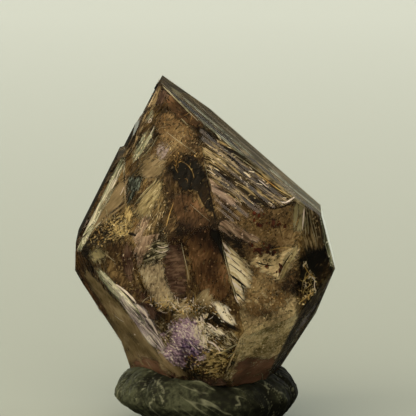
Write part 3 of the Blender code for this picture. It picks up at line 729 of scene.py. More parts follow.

# Finish of each film, thread and flake: four colours from dark to light, then metallic,
# roughness, how much of it is solid, and the strength of streaks, painted glints and specks.
FINISHES = {
    # Growth ridges seen edge on: cream and brown bands.
    "striated_quartz": (("0a0602", "20150a", "3e311c", "b0a078"), (0.0, 0.35, 0.97, 1.2, 0.5, 0.3)),
    # Rosy tan skin of clay.
    "rosy_clay": (("54443c", "8a7668", "b09c8e", "d6c6b8"), (0.0, 0.4, 0.9, 0.8, 0.5, 0.0)),
    # Cream feathered crack that has healed.
    "cream_feather": (("5a5136", "84795a", "a89e7a", "dcd4b4"), (0.05, 0.35, 0.95, 0.6, 0.3, 0.0)),
    # Honey-coloured iron film.
    "honey_iron": (("3b2f1a", "5c4c2a", "7c6a44", "d0c090"), (0.1, 0.3, 0.85, 0.7, 0.6, 0.2)),
    # Smooth tan skin with fine feathering.
    "tan_clay": (("5a5044", "8e8270", "b0a48e", "ccc6b4"), (0.0, 0.35, 0.9, 0.6, 0.4, 0.3)),
    # Fan of fluid veils: olive with pale ribs.
    "fluid_fan": (("2a2013", "54472e", "7c6c4c", "bca980"), (0.05, 0.35, 0.85, 0.8, 0.4, 0.1)),
    # Grey fibres with white edges.
    "grey_fibres": (("1a1913", "403e32", "797762", "c2beab"), (0.2, 0.3, 0.9, 1.2, 0.8, 0.0)),
    # Plum-brown depth.
    "plum_smoke": (("140c0b", "30221c", "4c3832", "7d685a"), (0.0, 0.4, 0.95, 0.6, 0.2, 0.1)),
    # Near-black depth.
    "dark_smoke": (("010100", "050301", "100903", "302210"), (0.0, 0.4, 1.0, 0.5, 0.1, 0.2)),
    # Warm brown iron stain with rusty specks.
    "amber_stain": (("20120a", "44301e", "604830", "98785a"), (0.0, 0.4, 0.95, 0.4, 0.2, 0.4)),
    # Blue-grey crack face.
    "blue_grey_crack": (("0e1415", "232928", "424c49", "8e9b95"), (0.1, 0.3, 0.9, 1.0, 0.5, 0.2)),
    # Milky flaw.
    "milky_quartz": (("4e5444", "797f6f", "9ea390", "d3d6c9"), (0.1, 0.3, 0.8, 0.8, 0.6, 0.0)),
    # Lilac glow.
    "lilac_quartz": (("4a423e", "6e6460", "928688", "c8bec4"), (0.0, 0.3, 0.6, 0.7, 0.6, 0.0)),
    # Crackle: dark gaps and cream edges.
    "crackled_quartz": (("1e150b", "4a3c26", "846f4e", "d9d0b7"), (0.3, 0.25, 0.7, 1.3, 1.0, 0.6)),
    # Painted glints: white bars over a tan plane.
    "barred_quartz": (("5a4a36", "ccc0a0", "ece4cc", "fffcf0"), (0.0, 0.3, 0.97, 0.9, 0.6, 0.1)),
    # Soft olive haze.
    "olive_haze": (("5c543c", "8c8064", "b0a080", "e4d8b4"), (0.0, 0.4, 0.9, 0.5, 0.6, 0.2)),
    # Dusky brown haze.
    "dusky_haze": (("160f08", "382a1c", "54422e", "98845e"), (0.0, 0.4, 0.95, 0.6, 0.4, 0.4)),
    # Haze low on the crystal, painted paler to stand in for light, because less light reaches it.
    "pale_haze": (("7c7256", "b8a886", "dccca8", "fcf4d8"), (0.0, 0.4, 0.95, 0.6, 0.6, 0.2)),
    # Light brown haze.
    "tan_haze": (("34271a", "665238", "887252", "bcaa84"), (0.0, 0.4, 0.85, 0.4, 0.3, 0.35)),
    # Dark smoky edge with pale scratches.
    "smoky_edge": (("0c0a06", "2e2416", "54442e", "a09070"), (0.0, 0.3, 0.92, 1.2, 0.7, 0.1)),
    # Clear grey-green edge, painted pale with the light that it catches.
    "clear_edge": (("3c3f30", "7c826e", "a8ae9a", "f4f6ec"), (0.0, 0.3, 0.85, 1.0, 0.9, 0.0)),
    # Painted highlight along the lower left ridge: white with a lilac cast.
    "white_veil": (("5c565c", "988e9a", "d6cae2", "ffffff"), (0.0, 0.35, 0.75, 1.3, 0.9, 0.0)),
    # Amethyst: violet grey with painted bright sparks.
    "violet_amethyst": (("3c3048", "84708e", "c2aad2", "ffffff"), (0.0, 0.3, 0.9, 0.6, 1.0, 0.25)),
    # Amethyst: a deeper violet pool.
    "deep_amethyst": (("1a1424", "3c3050", "68548a", "c0a8d8"), (0.0, 0.3, 0.9, 0.7, 1.0, 0.3)),
    # Silvery fluid film, painted bright with the light that it reflects.
    "silver_film": (("2b2018", "bcb4a2", "f4f0e2", "ffffff"), (0.0, 0.25, 0.8, 1.3, 1.0, 0.5)),
    # Golden brown goethite tufts.
    "goethite_tuft": (("080502", "1a1208", "342614", "b8a878"), (0.1, 0.3, 0.95, 0.7, 1.0, 0.6)),
    # Rusty red earth.
    "red_earth": (("4c3830", "70564a", "8a685a", "a08878"), (0.0, 0.4, 0.95, 0.2, 0.0, 0.0)),
    # Pale cloud, and under the left corner a painted highlight.
    "pale_cloud": (("4a4632", "8c876a", "b3ae90", "dcd8bc"), (0.0, 0.4, 0.8, 0.05, 0.0, 0.0)),
    # Even brown smoke.
    "brown_smoke": (("463e2f", "74684e", "96876c", "bcb094"), (0.0, 0.4, 0.97, 0.25, 0.1, 0.0)),
    # Threads and flakes. Goethite needles, pale threads, dark cracks and the hematite and dark
    # flakes are in the colours of what they are; the white threads and the silver, lilac and
    # cream flakes are painted glints, and the goethite flakes are goethite with painted sparkle.
    "goethite_needle": (("795c2d", "a98749", "ccb67b", "e1d5b0"), (0.3, 0.3, 1.0, 0.3, 0.0, 0.0)),
    "pale_thread": (("616150", "91907b", "b6b49e", "d5d3c2"), (0.1, 0.3, 1.0, 0.3, 0.0, 0.0)),
    "white_thread": (("c8c2c4", "e2dce0", "f4eef6", "ffffff"), (0.1, 0.3, 1.0, 0.3, 0.0, 0.0)),
    "dark_crack": (("040202", "090503", "130a05", "24150a"), (0.0, 0.4, 1.0, 0.3, 0.0, 0.0)),
    "goethite_flake": (("7a5a26", "c09a54", "f0d898", "fffae0"), (0.0, 0.25, 1.0, 0.6, 0.0, 0.0)),
    "silver_flake": (("a39c92", "d3ccc2", "f4f0e8", "ffffff"), (0.0, 0.2, 1.0, 0.6, 0.0, 0.0)),
    "lilac_flake": (("9d84a0", "cdb6d6", "eee0fa", "ffffff"), (0.0, 0.25, 1.0, 0.6, 0.0, 0.0)),
    "hematite_flake": (("190804", "321108", "5c2512", "874225"), (0.1, 0.4, 1.0, 0.6, 0.0, 0.0)),
    "dark_flake": (("090503", "180e08", "2c1d0c", "443219"), (0.1, 0.4, 1.0, 0.6, 0.0, 0.0)),
    "cream_flake": (("8e8670", "c4ba9e", "ece4cc", "fffbe8"), (0.0, 0.3, 1.0, 0.6, 0.0, 0.0)),
}
# The core under them: brown, softly streaked, with the odd painted glint.
CORE_FINISH = (("0f0905", "3a2c1b", "634f32", "a89468"), (0.1, 0.4, 0.97, 0.6, 0.4, 0.4))

# How many films are strewn under each face that turns away, and of which kinds.
STREWN = {
    "rhomb_right": 9,
    "rhomb_back_right": 9,
    "rhomb_back_left": 9,
    "rhomb_left": 7,
    "prism_right": 8,
    "prism_back_right": 9,
    "prism_back_left": 9,
    "worn_left": 4,
    "corner_left": 4,
    "corner_right": 4,
    "under_right": 7,
    "under_right_low": 5,
    "under_back": 8,
    "stem_left": 4,
    "broken_base": 4,
}
STREWN_KINDS = (
    "dusky_haze",
    "cream_feather",
    "amber_stain",
    "plum_smoke",
    "fluid_fan",
    "crackled_quartz",
    "grey_fibres",
    "dark_smoke",
    "brown_smoke",
    "lilac_quartz",
    "striated_quartz",
    "tan_clay",
)


def face_frame(name):
    """A face's foot (mm from the centre), its normal, and its level and upward directions."""
    normal = normals()[list(FACES).index(name)]
    level = np.cross(axes()[:, 2], normal)
    level /= np.linalg.norm(level)
    return normal * FACES[name][2], normal, level, np.cross(normal, level)


def overshoot(points):
    """How far points, in mm from the centre, lie beyond 0.1 mm inside each face of the head."""
    over = points @ normals().T - np.array(list(FACES.values()))[:, 2] + 0.1
    # The stem's own side cuts into the head and doesn't bound it.
    over[:, list(FACES).index("stem_left")] = -99.0
    return over


def in_crystal(face, depth, flat, lift):
    """World points from face coordinates (mm) at a depth under the face, lifted towards it.

    A point past another face is pushed back in along that face's normal, four times over,
    because near an edge one push may cross the next face.
    """
    foot, normal, level, up = face_frame(face)
    points = foot + flat[:, :1] * level + flat[:, 1:] * up + (lift - depth)[:, None] * normal
    for _ in range(4):
        over = overshoot(points)
        points -= normals()[np.argmax(over, axis=1)] * np.maximum(0, over.max(axis=1))[:, None]
    return CENTRE + points * MM


def share_inside(face, depth, middle, ways):
    """Share of each way from a middle in the face's plane that stays inside the other faces."""
    foot, normal, level, up = face_frame(face)
    start = foot - depth * normal + middle[0] * level + middle[1] * up
    pace = (ways[:, :1] * level + ways[:, 1:] * up) @ normals().T
    share = np.where(pace > 1e-6, -overshoot(start[None]) / np.maximum(pace, 1e-6), 1.0)
    return np.clip(share.min(axis=1), 0.02, 1.0)


def seen(face, depth, view):
    """Face coordinates (mm) of what shows at places in the main view, at a depth under a face.

    The line of sight r meets the face where eye + t r has t = (foot - eye) . n / (r . n).  It
    bends there to r / k + n (c / k - sqrt(1 - (1 - c * c) / k ** 2)), with c = -(r . n) and
    k the index of quartz, and runs on down to the depth.
    """
    foot, normal, level, up = face_frame(face)
    foot = foot + CENTRE / MM
    ahead = np.array((0, math.cos(VIEW_RISE), -math.sin(VIEW_RISE)))
    above = np.array((0, math.sin(VIEW_RISE), math.cos(VIEW_RISE)))
    aside = np.array((1.0, 0, 0))
    eye = TARGET - ahead * VIEW_DISTANCE
    places = np.reshape(view, (-1, 2)) - VIEW_PIXELS / 2
    places = places / (VIEW_PIXELS * VIEW_DISTANCE / VIEW_WIDTH)
    ray = ahead + aside * places[:, :1] - above * places[:, 1:]
    ray /= np.linalg.norm(ray, axis=1)[:, None]
    c = -(ray @ normal)
    spots = eye + ray * ((foot - eye) @ normal / -c)[:, None]
    turn = c / QUARTZ_IOR - np.sqrt(1 - (1 - c * c) / QUARTZ_IOR**2)
    bent = ray / QUARTZ_IOR + normal * turn[:, None]
    spots += bent * (depth / -(bent @ normal))[:, None]
    return np.stack(((spots - foot) @ level, (spots - foot) @ up), axis=1)


def heading(face, view):
    """Direction in a face, in whole degrees, from one place in the main view to another."""
    start, end = seen(face, 0.0, view)
    return round(math.degrees(math.atan2(end[1] - start[1], end[0] - start[0])))


def placed(table):
    """Rows of a table as (kind, face, depth, ..., outline), with the outline in face mm.

    Outlines are taken to the nearest 0.1 mm, and two places in a tuple of their own become the
    direction from the first to the second.
    """
    rows = []
    for face, group in table:
        for kind, depth, *rest, view in group:
            rest = [heading(face, v) if isinstance(v, tuple) else v for v in rest]
            rows.append((kind, face, depth, *rest, np.round(seen(face, depth, view), 1)))
    return rows


def strip_rows():
    """Rows like those of SHEETS for the strips along the long right face.

    A strip's outline goes along it in four places at one side and back at the other, and a
    place is near + (far - near) * across.
    """
    rows = []
    for kind, depth, *across, start, end in STRIPS:
        along = np.linspace(start, end, 4)[:, None]
        near, far = (edge[0] + edge[1] * along for edge in (NEAR_EDGE, FAR_EDGE))
        sides = [near + (far - near) * share for share in across]
        outline = np.concatenate((sides[0], sides[1][::-1]))
        rows.append((kind, "rhomb_right", depth, *STRIP_GRAIN, np.round(outline, 1)))
    return rows


def wandered(flat, reach, length, seed):
    """Face coordinates pushed about by smooth noise, so that grain curves as growth does."""
    spots = np.column_stack((flat / length, np.zeros(len(flat))))
    push = np.stack((lattice_noise(spots, seed), lattice_noise(spots + 31.7, seed + 9)), axis=1)
    return flat + push * reach


def along_grain(flat, turn, ratio):
    """Face coordinates turned to the grain, with distances along it shortened."""
    turn = math.radians(turn)
    along = flat @ np.array((math.cos(turn), math.sin(turn)))
    across = flat @ np.array((-math.sin(turn), math.cos(turn)))
    return np.stack((along / ratio, across), axis=1)


def crumple(grain, count, rng):
    """Facets about random seeds: the height, tone and cover of each point.

    A point takes lift + (point - seed) . tilt of its nearest seed, held to -2.5...1.2.
    """
    seeds = grain[rng.choice(len(grain), count)]
    near = np.argmin((seeds**2).sum(axis=1)[None] - 2 * grain @ seeds.T, axis=1)
    tilt = rng.normal(0.0, 0.7, (count, 2))
    lift = rng.uniform(-1.0, 1.0, count)
    height = lift[near] + ((grain - seeds[near]) * tilt[near]).sum(axis=1)
    tone, cover = rng.uniform(0.0, 1.0, (2, count))
    return np.clip(height, -2.5, 1.2), tone[near], cover[near]


def core_surface(settings):
    """Skin of the cloudy core: how far each direction reaches before it meets a sunken face.

    For a unit vector w the reach is the least of (distance - depth) / (n . w) over the faces
    that look that way.  Under each face the skin is crumpled: every point takes the tilt and
    lift of its nearest seed, with distances measured along the grain shortened.
    """
    table = np.array(list(FACES.values()))
    sides, rings = 440, 218
    a = np.tile(np.linspace(0, 2 * math.pi, sides, endpoint=False), rings)
    b = np.repeat(np.linspace(-math.pi / 2, math.pi / 2, rings + 2)[1:-1], sides)
    a, b = np.append(a, (0, 0)), np.append(b, (-math.pi / 2, math.pi / 2))
    way = np.stack((np.cos(a) * np.cos(b), np.sin(a) * np.cos(b), np.sin(b)), axis=1)
    facing = way @ normals().T
    depth = table[:, 3] + settings.extra_depth / MM
    reach = np.where(facing > 0.02, (table[:, 2] - depth) / np.maximum(facing, 0.02), 1e3)
    nearest = np.argmin(reach, axis=1)
    skin = way * reach.min(axis=1)[:, None]
    rng = np.random.default_rng(settings.seed)
    uv = np.zeros((len(skin), 2))
    tone, cover = np.zeros(len(skin)), np.zeros(len(skin))
    for index, name in enumerate(FACES):
        here = np.flatnonzero(nearest == index)
        if not len(here):
            continue
        turn, ratio, share = GRAIN.get(name, PLAIN_GRAIN)
        _, normal, level, up = face_frame(name)
        flat = np.stack((skin[here] @ level, skin[here] @ up), axis=1)
        grain = along_grain(wandered(flat, 1.3, 5.0, index), turn, ratio)
        count = max(3, int(len(here) * share * settings.facets))
        height, tone[here], cover[here] = crumple(grain, count, rng)
        skin[here] += normal * height[:, None] * settings.relief / MM
        uv[here] = grain
    return CENTRE + skin * MM, ball_faces(rings, sides), uv, {"tone": tone, "cover": cover}


def rounded(points, closed):
    """Corners of an outline or path cut twice, each at a quarter and three quarters."""
    for _ in range(2):
        after = np.roll(points, -1, axis=0) if closed else points[1:]
        here = points if closed else points[:-1]
        cuts = np.stack((here * 0.75 + after * 0.25, here * 0.25 + after * 0.75), axis=1)
        cuts = cuts.reshape(-1, 2)
        points = cuts if closed else np.concatenate((points[:1], cuts, points[-1:]))
    return points


def evenly(points, count, closed):
    """Points at even steps of length along an outline or path."""
    if closed:
        points = np.concatenate((points, points[:1]))
    run = np.append(0, np.cumsum(np.linalg.norm(np.diff(points, axis=0), axis=1)))
    steps = np.linspace(0, run[-1], count, endpoint=not closed)
    return np.stack([np.interp(steps, run, points[:, k]) for k in (0, 1)], axis=1)


def whole(tone):
    """Attributes of threads, hairs and flakes: full cover, and no ragged edge."""
    return {"tone": tone, "cover": np.ones(len(tone)), "inset": np.full(len(tone), WHOLE)}


def sheet_surface(face, depth, turn, ratio, outline, rng):
    """A crumpled film under a face: middle + s * (outline - middle), with s from 0 to 1.

    The outline is let out by 0.5 mm, because the material wears its edge back, and held in
    where it would leave the crystal.
    """
    rim = rounded(outline, True)
    after = np.roll(rim, -1, axis=0)
    if (rim[:, 0] * after[:, 1] - rim[:, 1] * after[:, 0]).sum() < 0:
        rim = rim[::-1]
    middle = rim.mean(axis=0)
    size = np.linalg.norm(rim - middle, axis=1).mean()
    # Rings about 0.2 mm apart.
    rings = max(5, int(size / 0.2))
    sides = 6 * rings
    rim = evenly(rim, sides, True) - middle
    rim *= 1 + 0.5 / np.linalg.norm(rim, axis=1)[:, None]
    share = share_inside(face, depth, middle, rim)
    s = np.linspace(0, 1, rings + 1)[1:, None] * share
    flat = np.concatenate((middle[None], (middle + s[:, :, None] * rim).reshape(-1, 2)))
    inset = ((1 - s) * np.linalg.norm(rim, axis=1)).ravel()
    grain = along_grain(wandered(flat, 0.35, 2.5, 3), turn, ratio)
    height, tone, cover = crumple(grain, max(4, int(size**2 * 5)), rng)
    points = in_crystal(face, depth, flat, height * 0.05)
    values = {"tone": tone, "cover": cover, "inset": np.append(size, inset)}
    return points, disc_faces(rings, sides), grain, values


def thread_surface(face, depth, width, path, rng):
    """A thin strip along a path, arched across, as wide as width * (4 t (1 - t)) ** 0.4."""
    line = rounded(path, False)
    count = max(12, int(np.linalg.norm(np.diff(line, axis=0), axis=1).sum() / 0.15))
    line = evenly(line, count, False)
    t = np.linspace(0, 1, count)
    way = np.gradient(line, axis=0)
    way /= np.linalg.norm(way, axis=1)[:, None]
    side = np.stack((-way[:, 1], way[:, 0]), axis=1)
    spots = np.column_stack((t * count / 4, t, t))
    wobble = 0.75 + 0.25 * lattice_noise(spots, int(rng.integers(99)))
    half = width / 2 * (4 * t * (1 - t) + 0.02) ** 0.4 * wobble
    across = np.array((-1.0, 0.0, 1.0))
    flat = (line[:, None] + side[:, None] * (half[:, None] * across)[:, :, None]).reshape(-1, 2)
    lift = (half[:, None] * (1 - across**2) * 0.5).ravel()
    grain = np.stack((np.repeat(t * count * 0.15, 3), np.tile(across * width, count)), axis=1)
    start = np.arange(count - 1)[:, None] * 3 + np.arange(2)
    faces = band_faces(start, start + 1, 3)
    values = whole(np.full(count * 3, rng.uniform(0.35, 0.8)))
    return in_crystal(face, depth, flat, lift), faces[:, ::-1], grain, values


def inside(points, outline):
    """Which points lie inside an outline: a level ray crosses its sides an odd number of times."""
    a, b = outline, np.roll(outline, -1, axis=0)
    x, y = points[:, :1], points[:, 1:]
    spans = (a[:, 1] > y) != (b[:, 1] > y)
    rise = np.where(b[:, 1] == a[:, 1], 1e-9, b[:, 1] - a[:, 1])
    crossed = spans & (x < a[:, 0] + (y - a[:, 1]) * (b[:, 0] - a[:, 0]) / rise)
    return crossed.sum(axis=1) % 2 == 1


def spots_inside(outline, count, rng):
    """Up to so many random points inside an outline, of eight times as many tried."""
    spots = rng.uniform(outline.min(axis=0), outline.max(axis=0), (8 * count, 2))
    return spots[inside(spots, outline)][:count]


def hair_surface(face, depth, count, length, width, bend, outline, rng):
    """Fine curved hairs strewn inside an outline: the way turns from a - b to a + b radians.

    A hair is width * (1.02 - t * t) ** 0.5 wide, with t from -1 to 1 along it.
    """
    spots = spots_inside(outline, count, rng)[:, None]
    count, steps = len(spots), 9
    t = np.linspace(-1, 1, steps)
    turn = rng.uniform(0, math.pi, (count, 1)) + rng.normal(0, bend, (count, 1)) * t
    way = np.stack((np.cos(turn), np.sin(turn)), axis=2)
    reach = length * rng.lognormal(-0.3, 0.5, (count, 1, 1))
    line = spots + np.cumsum(way, axis=1) * reach / steps
    half = width / 2 * np.sqrt(1.02 - t * t)
    side = np.stack((-way[:, :, 1], way[:, :, 0]), axis=2) * half[:, None]
    flat = np.stack((line - side, line + side), axis=2).reshape(-1, 2)
    start = np.arange(count)[:, None] * 2 * steps + np.arange(steps - 1) * 2
    faces = band_faces(start, start + 1, 2)[:, ::-1]
    values = whole(np.repeat(rng.uniform(0.2, 1.0, count), 2 * steps))
    lift = np.repeat(rng.uniform(-0.15, 0.1, count), 2 * steps)
    return in_crystal(face, depth, flat, lift), faces, flat, values


def strewn_rows(rng):
    """Rows like those of SHEETS and HAIRS for the faces that turn away, at random places.

    A film's outline has nine corners at reach * (0.5 to 1.1) about its middle, 0.6 as wide
    as it is long.
    """
    sheets, hairs = [], []
    corners = 9
    angle = np.arange(corners) * 2 * math.pi / corners
    for face, count in STREWN.items():
        foot, normal, level, up = face_frame(face)
        # Middles, 1 mm under the face, lie 0.9 mm or more inside every other one.
        spots = rng.uniform(-16, 16, (4000, 2))
        places = foot - normal + spots[:, :1] * level + spots[:, 1:] * up
        spots = spots[overshoot(places).max(axis=1) < -0.8]
        for k in range(min(count, len(spots))):
            kind = STREWN_KINDS[rng.integers(len(STREWN_KINDS))]
            turn = rng.uniform(20, 110)
            reach = rng.uniform(1.2, 4.2) * rng.uniform(0.5, 1.1, corners)
            ring = np.stack((np.cos(angle), 0.6 * np.sin(angle)), axis=1) * reach[:, None]
            c, s = math.cos(math.radians(turn)), math.sin(math.radians(turn))
            ring = ring @ np.array(((c, s), (-s, c)))
            # Each film lies a little deeper than the last, so that no two of them meet.
            depth = 0.41 + 0.021 * k
            sheets.append((kind, face, depth, turn, rng.uniform(1.5, 6.0), spots[k] + ring))
            thread = ("pale_thread", "goethite_needle", "dark_crack")[k % 3]
            hairs.append((thread, face, 0.25, 12, 1.6, 0.09, 0.6, spots[k] + ring))
    return sheets, hairs


def flake_surface(face, depth, count, size, slender, lie, outline, rng):
    """Small six-sided scales strewn inside an outline.

    Each scale is a hexagon of random reach, narrowed across by `slender`, tilted a little
    and turned to `lie` degrees give or take 9, or anyhow where `lie` is None.
    """
    spots = spots_inside(outline, count, rng)
    count, sides = len(spots), 6
    angle = np.arange(sides) * 2 * math.pi / sides + np.zeros((count, 1))
    reach = size * rng.lognormal(-0.3, 0.45, (count, 1)) * rng.uniform(0.6, 1.0, (count, sides))
    ring = np.stack((np.cos(angle) * reach, np.sin(angle) * reach * slender), axis=2)
    turn = rng.uniform(0, math.pi, count)
    if lie is not None:
        turn = math.radians(lie) + rng.normal(0, math.radians(9), count)
    spin = np.stack((np.cos(turn), np.sin(turn), -np.sin(turn), np.cos(turn)), axis=1)
    ring = ring @ spin.reshape(-1, 2, 2)
    tilt = rng.normal(0, 0.35, (count, 2, 1))
    lift = np.concatenate((np.zeros((count, 1)), (ring @ tilt)[:, :, 0]), axis=1)
    local = np.concatenate((np.zeros((count, 1, 2)), ring), axis=1)
    flat = (spots[:, None] + local).reshape(-1, 2)
    faces = np.arange(count)[:, None, None] * (sides + 1) + disc_faces(1, sides)
    faces = faces.reshape(-1, 3)
    values = whole(np.repeat(rng.uniform(0.2, 1.0, count), sides + 1))
    points = in_crystal(face, depth, flat, np.clip(lift.ravel(), -0.2, 0.12))
    return points, faces, flat, values


def tack_surface(settings):
    """Kneaded lump of tack, in rings from its foot to its crown.

    Each ring's reach is that of a flattened round: 0.42 + 0.58 * cos(rise) ** 0.6 of the full
    reach, drawn in below, most of all on the left.  Folds are cubed sines that wind round it,
    fibres are ridges of noise stretched along the folds, and whatever would lie inside the
    crystal's foot is pressed out to just clear of it.
    """
    sides, rings = 380, 150
    lowest, highest = -72, 88
    turn = np.tile(np.linspace(0, 2 * math.pi, sides, endpoint=False), rings)
    rise = np.repeat(np.radians(np.linspace(lowest, highest, rings)), sides)
    turn, rise = np.append(turn, (0, 0)), np.append(rise, (math.radians(lowest), math.pi / 2))
    x, y = np.cos(turn), np.sin(turn)
    swell = np.sin(rise)
    reach = np.hypot(12.4 * x, 12.9 * y)
    reach += -0.22 * x - 0.14 * np.cos(2 * turn) - 0.12 * np.sin(3 * turn)
    wind = turn + 0.35 * np.sin(2 * turn) + 0.16 * rise
    fold = np.sin(9 * wind + 0.8 * np.sin(3 * turn + 1.0))
    small = np.sin(23 * wind + 1.7 * np.sin(4 * turn) + 2.0 * rise)
    reach -= settings.folds / MM * (np.maximum(0, fold) ** 3 + 0.35 * np.maximum(0, small) ** 4)
    round_off = 0.42 + 0.58 * np.maximum(0, np.cos(rise)) ** 0.6
    undercut = 1 - (0.40 - 0.20 * x) * np.maximum(0, -swell) ** 1.3
    radius = reach * round_off * undercut
    radius[-2:] = 0
    lobe = 3.7 + 0.5 * np.abs(x) ** 2.5
    height = np.maximum(0, 4.4 + swell * np.where(swell > 0, lobe, 5.2))
    lump = np.stack((0.4 + x * radius, -0.5 + y * radius, height), axis=1)
    out = np.stack((x * np.cos(rise), y * np.cos(rise), swell), axis=1)
    threads = np.stack((wind * 21, rise * 1.6, np.zeros(len(turn))), axis=1)
    fibre = 1 - np.abs(fractal_noise(threads, 2, 5))
    dents = fractal_noise(lump / 2.6, 3, 11)
    rough = fractal_noise(lump / 0.5, 2, 17)
    push = settings.fibres / MM * (fibre**3 - 0.4) + 0.22 * dents + 0.04 * rough
    lump += out * (push * np.clip(height / 1.2, 0, 1))[:, None]
    lump[:, 2] = np.maximum(0, lump[:, 2])
    # How far each point is from coming out of the crystal's foot by its nearest face.
    rows = [k for k, name in enumerate(FACES) if name.startswith("under_")]
    rows += [list(FACES).index(name) for name in ("broken_base", "stem_left")]
    table = np.array(list(FACES.values()))
    over = (lump - CENTRE / MM) @ normals()[rows].T - table[rows, 2] - settings.clearance / MM
    # The crystal's foot is cut level at 3.6 mm, so below that nothing is pressed.
    over = np.column_stack((over, 3.6 - settings.clearance / MM - lump[:, 2]))
    ways = np.concatenate((normals()[rows], ((0, 0, -1),)))
    nearest = np.argmax(over, axis=1)
    depth = np.minimum(over.max(axis=1), 0)
    lump -= ways[nearest] * depth[:, None]
    lump[:, 2] = np.maximum(0, lump[:, 2])
    # Painted shade makes folds and dents darker, and painted light makes the left side paler
    # than the right.
    painted_light_and_shade = np.clip(0.6 * np.maximum(0, fold) ** 3 - dents + x**3, -1.4, 1.4)
    return lump * MM, ball_faces(rings, sides), {"fibre": fibre, "painted_light_and_shade": painted_light_and_shade}


def tack_material():
    """Mineral tack: oily putty kneaded with dust and lint, dull, with pale hairs in it."""
    made, tree, out = new_material("mineral_tack_putty")
    where = add(tree, "ShaderNodeTexCoord")
    fibre = add(tree, "ShaderNodeAttribute", {"attribute_name": "fibre"})
    painted_light_and_shade = add(tree, "ShaderNodeAttribute", {"attribute_name": "painted_light_and_shade"})
    # Grime in spots about 0.7 mm across.
    grime = {"Vector": where.outputs["Object"], "Scale": 1400.0, "Detail": 6.0, "Roughness": 0.65}
    grime = add(tree, "ShaderNodeTexNoise", inputs=grime).outputs["Fac"]
    # Grime, with painted shade in folds and dents and painted light on the left side.
    grime_and_painted_shading = {0: painted_light_and_shade.outputs["Fac"], 1: -0.18, 2: grime}
    grime_and_painted_shading = add(tree, "ShaderNodeMath", {"operation": "MULTIPLY_ADD"}, grime_and_painted_shading).outputs[0]
    stops = ((0.34, "0f1009"), (0.52, "191b10"), (0.72, "353827"))
    putty = add(tree, "ShaderNodeValToRGB", inputs={"Fac": grime_and_painted_shading}, stops=stops).outputs["Color"]
    lint = {"Value": fibre.outputs["Fac"], "From Min": 0.87, "From Max": 1.0}
    lint = add(tree, "ShaderNodeMapRange", inputs=lint).outputs["Result"]
    colour = {0: lint, 6: putty, 7: linear("585a47")}
    colour = add(tree, "ShaderNodeMix", {"data_type": "RGBA"}, colour).outputs[2]
    bump = {"Height": grime, "Strength": 0.3, "Distance": 0.0002}
    bump = add(tree, "ShaderNodeBump", inputs=bump).outputs[0]
    skin = {"Base Color": colour, "Roughness": 0.75, "Specular IOR Level": 0.12, "Normal": bump}
    shader = add(tree, "ShaderNodeBsdfPrincipled", inputs=skin)
    tree.links.new(shader.outputs[0], out.inputs["Surface"])
    return made


